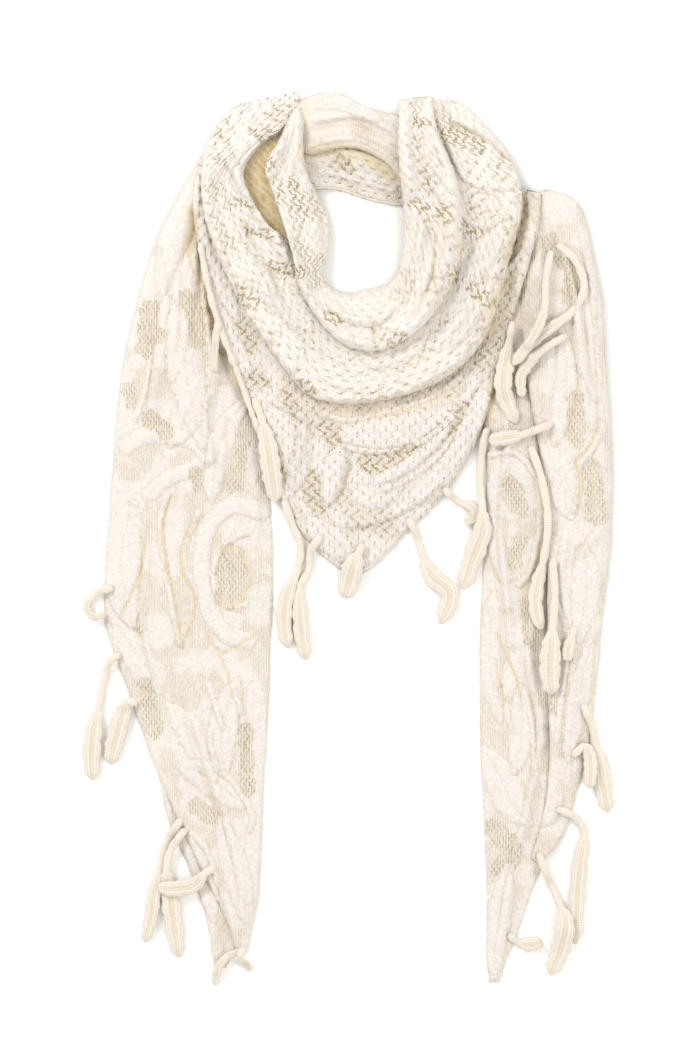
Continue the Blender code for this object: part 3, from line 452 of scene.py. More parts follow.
    Stroke("crease", 5, 3.0, ((262, 396), (284, 408), (303, 420), (300, 446), (290, 478), (287, 504))),
    Stroke("leaf", 12, 1.1, ((352, 486), (366, 496), (384, 494), (402, 486))),
    Stroke("leaf", 13, 1.1, ((308, 518), (322, 534), (338, 546), (352, 562))),
    Stroke("crease", 4, 1.8, ((332, 520), (352, 526), (386, 518), (420, 500), (446, 476))),
    Stroke("band", 9, 0.8, ((420, 496), (446, 470), (466, 436), (482, 400))),
    # loop, right side
    Stroke("crease", 6, 3.4, ((406, 103), (423, 151), (434, 187), (448, 216), (446, 262), (430, 300))),
    Stroke("crease", 5, 2.8, ((440, 122), (459, 173), (480, 188), (516, 190))),
    Stroke("crease", 5, 3.0, ((440, 117), (468, 128), (496, 145), (514, 168))),
    Stroke("leaf", 11, 1.3, ((446, 106), (468, 118), (490, 134), (508, 156))),
    Stroke("net", 9, 0, ((448, 136), (464, 142), (478, 150))),
    Stroke("net", 6, 0, ((416, 124), (428, 128))),
    Stroke("trough", 3, -2.2, ((435, 150), (439, 164), (443, 176))),
    Stroke("trough", 4, -2.0, ((446, 124), (462, 134), (480, 142))),
    Stroke("leaf", 10, 1.2, ((428, 132), (436, 156), (446, 176), (452, 196))),
    Stroke("net", 6, 0, ((414, 206), (424, 210))),
    Stroke("net", 7, 0, ((440, 212), (446, 222))),
    Stroke("net", 7, 0, ((462, 229), (486, 234))),
    Stroke("cord", 2.6, 1.3, ((462, 198), (478, 192), (496, 196), (504, 212), (494, 224), (474, 226),
           (460, 216))),
    Stroke("leaf", 12, 1.2, ((500, 230), (488, 250), (474, 268), (458, 282))),
    Stroke("net", 5, 0, ((451, 270), (454, 280))),
    Stroke("net", 7, 0, ((472, 292), (490, 304))),
    Stroke("leaf", 11, 1.2, ((476, 306), (466, 322), (452, 336), (436, 346))),
    Stroke("leaf", 10, 1.2, ((414, 214), (420, 240), (424, 268), (418, 296))),
    Stroke("crease", 5, 2.8, ((424, 214), (418, 250), (410, 284), (396, 312))),
    Stroke("crease", 5, 2.6, ((520, 200), (510, 236), (490, 280), (470, 320), (446, 352))),
    Stroke("trough", 4, -2.0, ((436, 230), (434, 264), (424, 300), (404, 328))),
    Stroke("crease", 4, 2.4, ((530, 238), (514, 262), (502, 275), (488, 310))),
    Stroke("trough", 4, -2.4, ((524, 200), (520, 226), (504, 258))),
)

# Leaf drops, the same as in the solids.
DROPS = (
    Drop("drop_left_curl", ((114, 588), (104, 590), (93, 596)), ((87, 606), (93, 616), (107, 614)), 7),
    Drop("drop_left_long", ((121, 654), (110, 662), (103, 685), (99, 708)),
         ((94, 730), (92, 755), (93, 780)), 17),
    Drop("drop_left_short", ((138, 704), (128, 702)), ((122, 718), (115, 742), (110, 764)), 18),
    Drop("drop_left_low_outer", ((182, 818), (168, 840), (161, 866)),
         ((155, 892), (151, 918), (145, 942)), 13),
    Drop("drop_left_low_inner", ((186, 828), (172, 848), (167, 868)),
         ((170, 892), (174, 924), (179, 957)), 18),
    Drop("drop_left_low_cross", ((216, 866), (206, 872)), ((194, 884), (176, 888), (158, 886)), 16),
    Drop("drop_left_tip_leaf", ((240, 950), (228, 956)), ((220, 964), (217, 974), (215, 985)), 8),
    Drop("drop_left_tip_end", ((243, 946), (241, 955)), ((244, 961), (248, 966), (252, 970)), 7),
    Drop("drop_point_cord", ((220, 322), (217, 334)), ((216, 346), (215, 360), (215, 374)), 7),
    Drop("drop_point_flap", ((254, 398), (262, 420)), ((268, 446), (272, 474), (276, 502)), 19),
    Drop("drop_point_left", ((284, 500), (292, 524), (301, 548), (296, 574)),
         ((287, 596), (284, 622), (288, 648)), 15),
    Drop("drop_point_left_pair", ((322, 536), (311, 550), (309, 570), (300, 588)),
         ((300, 610), (302, 636), (306, 660)), 15),
    Drop("drop_point_tip", ((362, 544), (359, 552)), ((353, 566), (349, 582), (344, 598)), 21),
    Drop("drop_point_right", ((408, 518), (416, 534), (423, 556)), ((432, 576), (450, 594), (440, 624)), 19),
    Drop("drop_point_right_curl", ((444, 488), (452, 497), (464, 504)),
         ((474, 508), (475, 518), (464, 521)), 12),
    Drop("drop_right_long", ((487, 428), (482, 452), (480, 482), (482, 508)),
         ((482, 532), (472, 560), (463, 589)), 19),
    Drop("drop_right_top", ((512, 322), (509, 342)), ((505, 364), (503, 392), (516, 424)), 17),
    Drop("drop_right_cross", ((552, 424), (536, 430), (522, 435)), ((512, 437), (500, 439), (488, 441)), 14),
    Drop("drop_right_groove", ((530, 446), (541, 480), (547, 520), (543, 560)),
         ((537, 584), (535, 606), (541, 630)), 14),
    Drop("drop_right_low", ((552, 560), (554, 596), (552, 626)), ((550, 648), (549, 670), (551, 694)), 20),
    Drop("drop_right_low_small", ((574, 626), (571, 636)), ((569, 644), (567, 652), (566, 661)), 12),
    Drop("drop_right_side", ((582, 704), (592, 726), (595, 744)), ((600, 764), (603, 788), (608, 812)), 17),
    Drop("drop_right_side_inner", ((572, 756), (583, 746)), ((589, 754), (590, 770), (589, 788)), 13),
    Drop("drop_right_flap", ((556, 808), (574, 816), (584, 832)), ((580, 862), (577, 900), (576, 944)), 15),
    Drop("drop_right_leaf", ((538, 852), (548, 878), (560, 904)), ((565, 924), (560, 950), (550, 975)), 18),
    Drop("drop_right_tip_cross", ((508, 934), (518, 941)), ((527, 944), (535, 943), (542, 940)), 14),
    Drop("drop_right_loop", ((556, 246), (574, 262), (583, 288), (572, 312)),
         ((548, 330), (528, 346), (512, 366)), 11),
    Drop("drop_right_loop_inner", ((550, 252), (545, 280), (544, 306)),
         ((540, 322), (533, 336), (524, 350)), 9),
    Drop("drop_right_loop_low", ((566, 336), (552, 344), (540, 352)),
         ((530, 362), (520, 378), (522, 398)), 11),
)


def plan(places):
    """Picture pixels as metres in the plan."""
    places = np.asarray(places, float)
    return np.stack([(places[..., 0] - MIDDLE_COLUMN) * PIXEL, (MIDDLE_ROW - places[..., 1]) * PIXEL], -1)


def spline(points, positions):
    """A smooth curve through the points, read at positions from 0 to the last point's number."""
    points = np.asarray(points, float)
    last = len(points) - 1
    start = np.clip(np.floor(positions).astype(int), 0, last - 1)
    t = (positions - start)[:, None]
    before, here = points[np.maximum(start - 1, 0)], points[start]
    there, after = points[start + 1], points[np.minimum(start + 2, last)]
    return 0.5 * (
        2 * here
        + (there - before) * t
        + (2 * before - 5 * here + 4 * there - after) * t**2
        + (3 * here - before - 3 * there + after) * t**3
    )


def evenly(points, count):
    """Positions along the curve through the points that cut it into count equal lengths."""
    fine = np.linspace(0, len(points) - 1, 400)
    curve = spline(points, fine)
    length = np.concatenate([[0], np.cumsum(np.linalg.norm(np.diff(curve, axis=0), axis=1))])
    return np.interp(np.linspace(0, length[-1], count + 1), length, fine)


def curve_length(points):
    fine = spline(points, np.linspace(0, len(points) - 1, 400))
    return np.linalg.norm(np.diff(fine, axis=0), axis=1).sum()


def wander(places, size, seed):
    """Soft noise from -1 to 1 over places in pixels, with humps of about this size."""
    return np.array([noise.noise(Vector((x / size, y / size, seed))) for x, y in places])


class Solid:
    """The surface of a CAD node, which the cloth lies on."""

    def __init__(self, node):
        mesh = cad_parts[node].data
        points = [v.co.copy() for v in mesh.vertices]
        self.tree = BVHTree.FromPolygons(points, [tuple(p.vertices) for p in mesh.polygons])
        self.middle = sum(p.z for p in points) / len(points)

    def height(self, x, y, above=True):
        """The height of the solid's top at a place, or of its underside."""
        start, way = (0.3, -1) if above else (-0.1, 1)
        place = self.tree.ray_cast(Vector((x, y, start)), Vector((0, 0, way)))[0]
        if place is None:
            place = self.tree.find_nearest(Vector((x, y, self.middle)))[0]
        return place.z


def places_of(bm):
    return np.array([v.co for v in bm.verts])


def put(bm, places):
    for vert, place in zip(bm.verts, places):
        vert.co = place


def outline_of(sections):
    """The outline of a stretch as one closed polygon, in pixels."""
    fine = np.linspace(0, len(sections) - 1, 16 * len(sections))
    left = spline([s.left for s in sections], fine)
    right = spline([s.right for s in sections], fine)
    return np.concatenate([left, right[::-1]])


def within(outline, places):
    """Which places lie inside the outline."""
    inside = np.zeros(len(places), bool)
    x, y = places[:, 0], places[:, 1]
    for (ax, ay), (bx, by) in zip(outline, np.roll(outline, -1, axis=0)):
        crosses = (ay > y) != (by > y)
        if ay != by:
            inside ^= crosses & (x < ax + (bx - ax) * (y - ay) / (by - ay))
    return inside


def nearest_along(curve, places):
    """For each place, its distance from a curve, its side of it, the share along, and from 0 to 1
    how far that side faces away from the light."""
    offset = places[:, None, :] - curve[None, :, :]
    distance = np.hypot(offset[..., 0], offset[..., 1])
    closest = distance.argmin(axis=1)
    heading = np.gradient(curve, axis=0)[closest]
    chosen = offset[np.arange(len(places)), closest]
    side = np.sign(heading[:, 0] * chosen[:, 1] - heading[:, 1] * chosen[:, 0])
    distance = distance.min(axis=1)
    away = np.clip((0.6 * chosen[:, 0] + 0.8 * chosen[:, 1]) / np.maximum(distance, 0.5), -0.25, 1)
    return distance, side, closest / (len(curve) - 1), (away + 0.25) / 1.25


def edge_distance(cloth, pixels):
    """How far each place is from the stretch's outline, in pixels, and the way from it."""
    outline = outline_of(cloth.sections)
    far = np.full(len(pixels), np.inf)
    way = np.zeros((len(pixels), 2))
    for start, end in zip(outline, np.roll(outline, -1, axis=0)):
        edge = end - start
        share = np.clip((pixels - start) @ edge / max(edge @ edge, 1e-9), 0, 1)
        offset = pixels - start - share[:, None] * edge
        gap = np.hypot(offset[:, 0], offset[:, 1])
        nearer = gap < far
        far[nearer] = gap[nearer]
        way[nearer] = offset[nearer]
    return far, way / np.maximum(far, 0.3)[:, None]


def shade_from_above(cloth, pixels):
    """The warm shade that the stretches above cast just past their edges."""
    shade = np.zeros(len(pixels))
    for upper in CLOTHS:
        if upper.node in LIES_UNDER.get(cloth.node, ()):
            far, way = edge_distance(upper, pixels)
            away = np.clip(0.35 + 0.65 * way @ (0.6, 0.8), 0.1, 1)
            uneven = np.clip(0.75 + 0.7 * wander(pixels, 17, 8.8), 0.2, 1)
            shade += 0.95 * away * np.exp(-((far / 4.5) ** 1.3)) * uneven
    return shade


def knit_net(bm, net, count):
    """Marks each face of a new grid: 0 where it is yarn, 1 in a gap."""
    layer = bm.faces.layers.int.new("gap")
    centres = np.array([f.calc_center_median() for f in bm.faces])[:, :2] + 0.5
    column, row = np.floor(centres * count).astype(int).T
    mesh = column // net.across
    row = row + np.where(mesh % 2, net.down // 2, 0)
    gap = (column % net.across < net.gap) & (row % net.down < net.down - 1)
    for face, value in zip(bm.faces, gap):
        face[layer] = int(value)


def bow(unit, count, net):
    """How far the knitting bows each column aside, in pixels, so that the gaps become diamonds."""
    column, row = np.round(unit * count).T
    swing = np.cos(np.pi * row / net.down + np.pi * (column // net.across))
    return 0.15 * net.across * net.pitch[0] * swing * min(net.gap, 2)


def hanging_lattice(cloth):
    """A net whose rows run level across the plan, cut to the stretch's outline, and the places
    across and along the cloth of its points."""
    outline = outline_of(cloth.sections)
    low, high = outline.min(0), outline.max(0)
    count = np.maximum(np.round((high - low) / cloth.net.pitch).astype(int), 2)
    bm = bmesh.new()
    bmesh.ops.create_grid(bm, x_segments=int(count[0]), y_segments=int(count[1]), size=0.5)
    knit_net(bm, cloth.net, count)
    unit = places_of(bm)[:, :2] + 0.5
    pixels = low + unit * (high - low)
    pixels[:, 0] += bow(unit, count, cloth.net) + 1.6 * wander(pixels, 30, 3.1)
    pixels[:, 1] += 0.8 * wander(pixels, 12, 7.7)
    put(bm, np.column_stack([pixels, np.zeros(len(pixels))]))
    centres = np.array([f.calc_center_median() for f in bm.faces])[:, :2]
    keep = within(outline, centres)
    bmesh.ops.delete(bm, geom=[f for f, kept in zip(bm.faces, keep) if not kept], context="FACES")
    fine = np.concatenate([np.linspace(a, b, 4, endpoint=False)
                           for a, b in zip(outline, np.roll(outline, -1, axis=0))])
    for vert in bm.verts:
        if vert.is_boundary:
            gap = fine - np.array(vert.co[:2])
            place = fine[np.hypot(gap[:, 0], gap[:, 1]).argmin()]
            vert.co[:2] = place + 0.9 * wander([place], 8, 5.5)[0] * np.array([1, 0.4])
    return bm, places_of(bm)[:, :2]


def following_lattice(cloth):
    """A net whose rows cross the stretch from edge to edge and whose columns follow it, and the
    places across and along the cloth of its points."""
    lefts = [s.left for s in cloth.sections]
    rights = [s.right for s in cloth.sections]
    middles = (np.array(lefts, float) + np.array(rights, float)) / 2
    widths = np.linalg.norm(np.array(lefts, float) - np.array(rights, float), axis=1)
    along = int(curve_length(middles) / cloth.net.pitch[1])
    across = int(np.quantile(widths, 0.7) / cloth.net.pitch[0])
    count = (across, along)
    bm = bmesh.new()
    bmesh.ops.create_grid(bm, x_segments=across, y_segments=along, size=0.5)
    knit_net(bm, cloth.net, count)
    unit = places_of(bm)[:, :2] + 0.5
    positions = np.interp(unit[:, 1], np.linspace(0, 1, along + 1), evenly(middles, along))
    inner = (unit[:, 0] > 1e-4) & (unit[:, 0] < 1 - 1e-4)
    share = unit[:, 0] + np.where(inner, bow(unit, count, cloth.net) / (across * cloth.net.pitch[0]), 0)
    pixels = spline(lefts, positions) * (1 - share[:, None]) + spline(rights, positions) * share[:, None]
    pixels[:, 0] += 0.9 * wander(pixels, 13, 2.3) * inner
    pixels[:, 1] += 0.9 * wander(pixels, 13, 9.1) * inner
    put(bm, np.column_stack([pixels, np.zeros(len(pixels))]))
    return bm, unit * count * cloth.net.pitch


def stroke_fields(pixels, openness, seed):
    """Rise in metres, density from 0 open to 1 closed, and painted shade, at places in pixels."""
    rise = np.zeros(len(pixels))
    shade = np.zeros(len(pixels))
    rough = wander(pixels, 6, seed + 9)
    grain = wander(pixels, 2.6, seed + 12)
    ground = 0.5 + 0.9 * wander(pixels, 26, seed) + 0.3 * wander(pixels, 8, seed + 5)
    density = np.clip((ground - openness) * 2.0 + 0.5, 0.12, 0.8)
    for stroke in STROKES:
        path = np.array(stroke.path, float)
        reach = stroke.half_width * 2.2 + 3
        near = ((pixels > path.min(0) - reach) & (pixels < path.max(0) + reach)).all(1)
        if not near.any():
            continue
        steps = max(int(curve_length(path) / 1.2), 4)
        curve = spline(path, np.linspace(0, len(path) - 1, steps))
        distance, side, share, away = nearest_along(curve, pixels[near])
        broken = np.clip(0.55 + 0.9 * wander(pixels[near], 11, stroke.half_width), 0, 1)
        distance = np.maximum(distance + 1.3 * grain[near], 0)
        width = stroke.half_width
        fade = np.clip(np.minimum(share, 1 - share) * 5, 0, 1)
        if stroke.kind in ("leaf", "band", "cord"):
            if stroke.kind == "leaf":
                width = np.maximum(width * np.sin(np.pi * np.clip(share, 0.03, 0.97)) ** 0.62, 0.5)
            width = width * (1 + 0.16 * rough[near])
            inside = distance < width
            plateau = np.clip(1 - (distance / width) ** 2, 0, 1) ** 0.3
            rise[near] += stroke.rise * MM * plateau
            density[near] = np.where(inside, 1, np.where(distance < width + 1.8, 0.12, density[near]))
            # Painted shadow just outside each figure's outline, strongest on its side away from the light.
            shade[near] += 0.75 * away * broken * np.exp(-(((distance - width - 0.6) / 1.2) ** 2))
            if stroke.kind == "leaf":
                # The leaf's vein sinks and takes a little painted shade.
                vein = np.exp(-((distance / 1.1) ** 2)) * inside
                rise[near] -= 0.5 * MM * vein
                shade[near] += 0.12 * vein
        elif stroke.kind == "seam":
            line = np.exp(-((distance / width) ** 2)) * np.clip(fade + 0.2, 0, 1)
            density[near] = np.where(distance < width * 0.9, 0.1, density[near])
            rise[near] += stroke.rise * MM * line
            # Painted shade along the seam's groove.
            shade[near] += 0.95 * line
        elif stroke.kind == "net":
            inside = distance < width * (1 + 0.35 * rough[near])
            density[near] = np.where(inside, 0, density[near])
            rise[near] -= 0.4 * MM * np.exp(-((distance / width) ** 2))
        elif stroke.kind == "hollow":
            # A hollow only paints shade; its rise sets how strong.
            shade[near] += stroke.rise * np.exp(-((distance / width) ** 2)) * np.clip(fade + 0.3, 0, 1)
        else:
            lean = np.where(side > 0, 1.9, 1.0)
            hump = np.exp(-((distance * lean / width) ** 2)) * fade
            uneven = 1 + 0.3 * wander(pixels[near], 20, 4.4)
            rise[near] += stroke.rise * MM * hump * uneven
            # A trough takes painted shade along it, and a crease a painted shadow at its foot on the steep
            # side.
            if stroke.rise < 0:
                shade[near] += 0.3 * broken * hump
            else:
                foot = np.exp(-(((distance - 0.75 * width) / 1.2) ** 2)) * (side > 0)
                shade[near] += 0.35 * broken * fade * foot
                rise[near] -= 0.5 * MM * fade * foot
    return rise, density, np.clip(shade, 0, 1.2)


def colour(code):
    """An sRGB hex colour as linear red, green, blue and alpha."""
    parts = [int(code[k : k + 2], 16) / 255 for k in (1, 3, 5)]
    return (*[c / 12.92 if c <= 0.04045 else ((c + 0.055) / 1.055) ** 2.4 for c in parts], 1)


def add(tree, kind, settings=(), **links):
    """Adds a node. Settings are its own fields, and links are values or sockets for its inputs."""
    node = tree.nodes.new("ShaderNode" + kind)
    for name, value in dict(settings).items():
        setattr(node, name, value)
    for name, value in links.items():
        key = int(name[1:]) if name[0] == "i" and name[1:].isdigit() else name.replace("_", " ")
        if isinstance(value, bpy.types.NodeSocket):
            tree.links.new(value, node.inputs[key])
        else:
            node.inputs[key].default_value = value
    return node


def blend_colours(tree, share, first, second):
    node = add(tree, "Mix", {"data_type": "RGBA"}, Factor=share)
    for slot, value in ((6, first), (7, second)):
        if isinstance(value, bpy.types.NodeSocket):
            tree.links.new(value, node.inputs[slot])
        else:
            node.inputs[slot].default_value = value
    return node.outputs[2]


def new_material(name, roughness, sheen, glow=0.0):
    material = bpy.data.materials.new(name)
    material.use_nodes = True
    tree = material.node_tree
    shader = tree.nodes["Principled BSDF"]
    shader.inputs["Roughness"].default_value = roughness
    shader.inputs["IOR"].default_value = 1.45
    shader.inputs["Specular IOR Level"].default_value = 0.25
    shader.inputs["Sheen Weight"].default_value = sheen
    shader.inputs["Sheen Roughness"].default_value = 0.55
    shader.inputs["Sheen Tint"].default_value = colour("#FFF9F0")
    shader.inputs["Subsurface Weight"].default_value = glow
    shader.inputs["Subsurface Radius"].default_value = (1.0, 0.85, 0.7)
    shader.inputs["Subsurface Scale"].default_value = 1.8 * MM
    return material, tree, shader


def boucle_lace(name, curl_colours, ground_colours):
    """Knitted boucle yarn: pale curls on top and fine wales in the plain ground, both darker in
    their low parts as painted shade, and painted tan shade where the shade attribute is high."""
    material, tree, shader = new_material(name, 0.9, 0.12, 0.4)
    place = add(tree, "TexCoord").outputs["Object"]
    dense = add(tree, "Attribute", {"attribute_name": "dense"}).outputs["Fac"]
    shade = add(tree, "Attribute", {"attribute_name": "shade"}).outputs["Fac"]
    # Curls of yarn 2.3 mm across, and strands 1.2 mm apart.
    curls = add(tree, "TexNoise", Vector=place, Scale=430.0, Detail=4.0, Roughness=0.7, Distortion=1.0)
    strands = add(tree, "TexVoronoi", {"feature": "DISTANCE_TO_EDGE"}, Vector=place, Scale=800.0)
    blotches = add(tree, "TexNoise", Vector=place, Scale=70.0, Detail=3.0)
    curl = add(tree, "MapRange", Value=curls.outputs["Fac"], From_Min=0.4, From_Max=0.55).outputs[0]
    edge = add(tree, "MapRange", Value=strands.outputs["Distance"], From_Min=0.0, From_Max=0.22).outputs[0]
    # Wales 1.9 mm apart run down the ground of the lace.
    wales = add(tree, "TexWave", {"bands_direction": "X"}, Vector=place, Scale=165.0, Distortion=3.0,
                Detail=2.0, Detail_Scale=1.4)
    ground = add(tree, "MapRange", Value=wales.outputs["Fac"], From_Min=0.1, From_Max=0.7).outputs[0]
    # Painted shade: curls and strands are darker at their low edges, and the wales between their ridges,
    # where the bumps sink.
    light = blend_colours(tree, curl, *map(colour, curl_colours))
    light = blend_colours(tree, edge, colour(curl_colours[0]), light)
    plain = blend_colours(tree, ground, *map(colour, ground_colours))
    cloth = blend_colours(tree, dense, plain, light)
    warm = add(tree, "MapRange", Value=blotches.outputs["Fac"], From_Min=0.45, From_Max=0.7,
               To_Max=0.3).outputs[0]
    cloth = blend_colours(tree, warm, cloth, colour("#F1E9E1"))
    # Painted shade: the shade attribute blends the cloth toward tan in creases, troughs, hollows, seams,
    # turned edges and past the outlines of figures and of the stretches above.
    painted_shade = add(tree, "MapRange", Value=shade, From_Min=0.0, From_Max=1.1, To_Max=0.85).outputs[0]
    cloth = blend_colours(tree, painted_shade, cloth, colour("#E7D6B4"))
    tree.links.new(cloth, shader.inputs["Base Color"])
    height = add(tree, "Mix", {"data_type": "FLOAT"}, Factor=dense, i2=wales.outputs["Fac"],
                 i3=curls.outputs["Fac"]).outputs[0]
    rough = add(tree, "Bump", Strength=0.55, Distance=0.0014, Height=height)
    fine = add(tree, "Bump", Strength=0.4, Distance=0.0005, Height=edge, Normal=rough.outputs[0])
    tree.links.new(fine.outputs[0], shader.inputs["Normal"])
    return material


def net_gaps():
    """The floors of the net's sunken gaps, painted tan for the shade seen through the open net, and
    paler in the plain ground.
    """
    material, tree, shader = new_material("shaded_yarn_in_net_gaps", 0.95, 0.0)
    place = add(tree, "TexCoord").outputs["Object"]
    mottle = add(tree, "TexNoise", Vector=place, Scale=160.0, Detail=3.0)
    share = add(tree, "MapRange", Value=mottle.outputs["Fac"], From_Min=0.35, From_Max=0.65).outputs[0]
    dense = add(tree, "Attribute", {"attribute_name": "dense"}).outputs["Fac"]
    closed = add(tree, "MapRange", Value=dense, From_Min=0.02, From_Max=0.3).outputs[0]
    open_net = blend_colours(tree, share, colour("#B3A27C"), colour("#D2C6AA"))
    ground = blend_colours(tree, share, colour("#DED3C3"), colour("#EDE6DB"))
    yarn = blend_colours(tree, closed, open_net, ground)
    tree.links.new(yarn, shader.inputs["Base Color"])
    low = add(tree, "Bump", Strength=0.4, Distance=0.0006, Height=mottle.outputs["Fac"])
    tree.links.new(low.outputs[0], shader.inputs["Normal"])
    return material


def knitted_tube():
    """Close stocking stitch: even rows of small stitches round each drop and rolled edge, darker
    between the stitches as painted shade.
    """
    material, tree, shader = new_material("stocking_stitch_tube", 0.85, 0.1, 0.3)
    uv = add(tree, "UVMap", {"uv_map": "along_and_round"}).outputs[0]
    place = add(tree, "TexCoord").outputs["Object"]
    # Stitches 1.3 mm apart along the tube, and 14 wales round it.
    rows = add(tree, "TexWave", {"bands_direction": "X"}, Vector=uv, Scale=240.0, Distortion=2.0, Detail=2.0)
    wales = add(tree, "TexWave", {"bands_direction": "Y"}, Vector=uv, Scale=4.4, Distortion=1.6, Detail=2.0)
    fuzz = add(tree, "TexNoise", Vector=place, Scale=420.0, Detail=4.0, Roughness=0.65)
    both = add(tree, "Math", {"operation": "MULTIPLY"}, i0=rows.outputs["Fac"],
               i1=wales.outputs["Fac"]).outputs[0]
    stitch = add(tree, "MapRange", Value=both, From_Min=0.0, From_Max=0.5).outputs[0]
    yarn = blend_colours(tree, stitch, colour("#D6CDBF"), colour("#F5EFE7"))
    soft = add(tree, "MapRange", Value=fuzz.outputs["Fac"], From_Min=0.4, From_Max=0.65,
               To_Max=0.6).outputs[0]
    yarn = blend_colours(tree, soft, yarn, colour("#E3DBCE"))
    # Painted shade from the drops' shade attribute, in the leaf's groove and on its lower side; the rolled
    # edges have no such attribute and take none.
    shade = add(tree, "Attribute", {"attribute_name": "shade"}).outputs["Fac"]
    yarn = blend_colours(tree, shade, yarn, colour("#CCBC9C"))
    tree.links.new(yarn, shader.inputs["Base Color"])
    low = add(tree, "Bump", Strength=0.3, Distance=0.0005, Height=stitch)
    fine = add(tree, "Bump", Strength=0.5, Distance=0.0006, Height=fuzz.outputs["Fac"], Normal=low.outputs[0])
    tree.links.new(fine.outputs[0], shader.inputs["Normal"])
    return material


def shaded_lace():
    """The same lace deep in the heap, seen past the folds: painted ochre for the shade it lies in,
    paler on its curls and wale ridges.
    """
    material, tree, shader = new_material("knitted_lace_in_shade", 0.92, 0.1, 0.2)
    place = add(tree, "TexCoord").outputs["Object"]
    folds = add(tree, "TexNoise", Vector=place, Scale=90.0, Detail=3.0)
    curls = add(tree, "TexNoise", Vector=place, Scale=480.0, Detail=3.0)
    share = add(tree, "MapRange", Value=folds.outputs["Fac"], From_Min=0.35, From_Max=0.65).outputs[0]
    wales = add(tree, "TexWave", {"bands_direction": "DIAGONAL"}, Vector=place, Scale=90.0, Distortion=5.0,
                Detail=3.0, Detail_Scale=1.6)
    cloth = blend_colours(tree, share, colour("#CBB07A"), colour("#DFCBA0"))
    ridge = add(tree, "MapRange", Value=wales.outputs["Fac"], From_Min=0.5, From_Max=0.9,
                To_Max=0.6).outputs[0]
    cloth = blend_colours(tree, ridge, cloth, colour("#EDE2C6"))
    curl = add(tree, "MapRange", Value=curls.outputs["Fac"], From_Min=0.4, From_Max=0.65,
               To_Max=0.5).outputs[0]
    cloth = blend_colours(tree, curl, cloth, colour("#E8DCC0"))
    tree.links.new(cloth, shader.inputs["Base Color"])
    rough = add(tree, "Bump", Strength=0.7, Distance=0.0012, Height=curls.outputs["Fac"])
    tree.links.new(rough.outputs[0], shader.inputs["Normal"])
    return material


def floor_paper():
    """White background paper, matt, with the faintest mottle."""
    material, tree, shader = new_material("white_background_paper", 0.95, 0.0)
    mottle = add(tree, "TexNoise", Vector=add(tree, "TexCoord").outputs["Object"], Scale=30.0)
    paper = blend_colours(tree, mottle.outputs["Fac"], colour("#FDFDFC"), colour("#FFFFFE"))
    tree.links.new(paper, shader.inputs["Base Color"])
    return material


def finish_piece(name, bm, material):
    mesh = bpy.data.meshes.new(name)
    bm.to_mesh(mesh)
    bm.free()
    mesh.shade_smooth()
    mesh.materials.append(material)
    piece = bpy.data.objects.new(name, mesh)
    bpy.context.scene.collection.objects.link(piece)
    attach(piece, "root")
    return piece


def smooth_heights(bm):
    bmesh.ops.smooth_vert(bm, verts=bm.verts, factor=0.5, use_axis_x=False, use_axis_y=False,
                          use_axis_z=True)


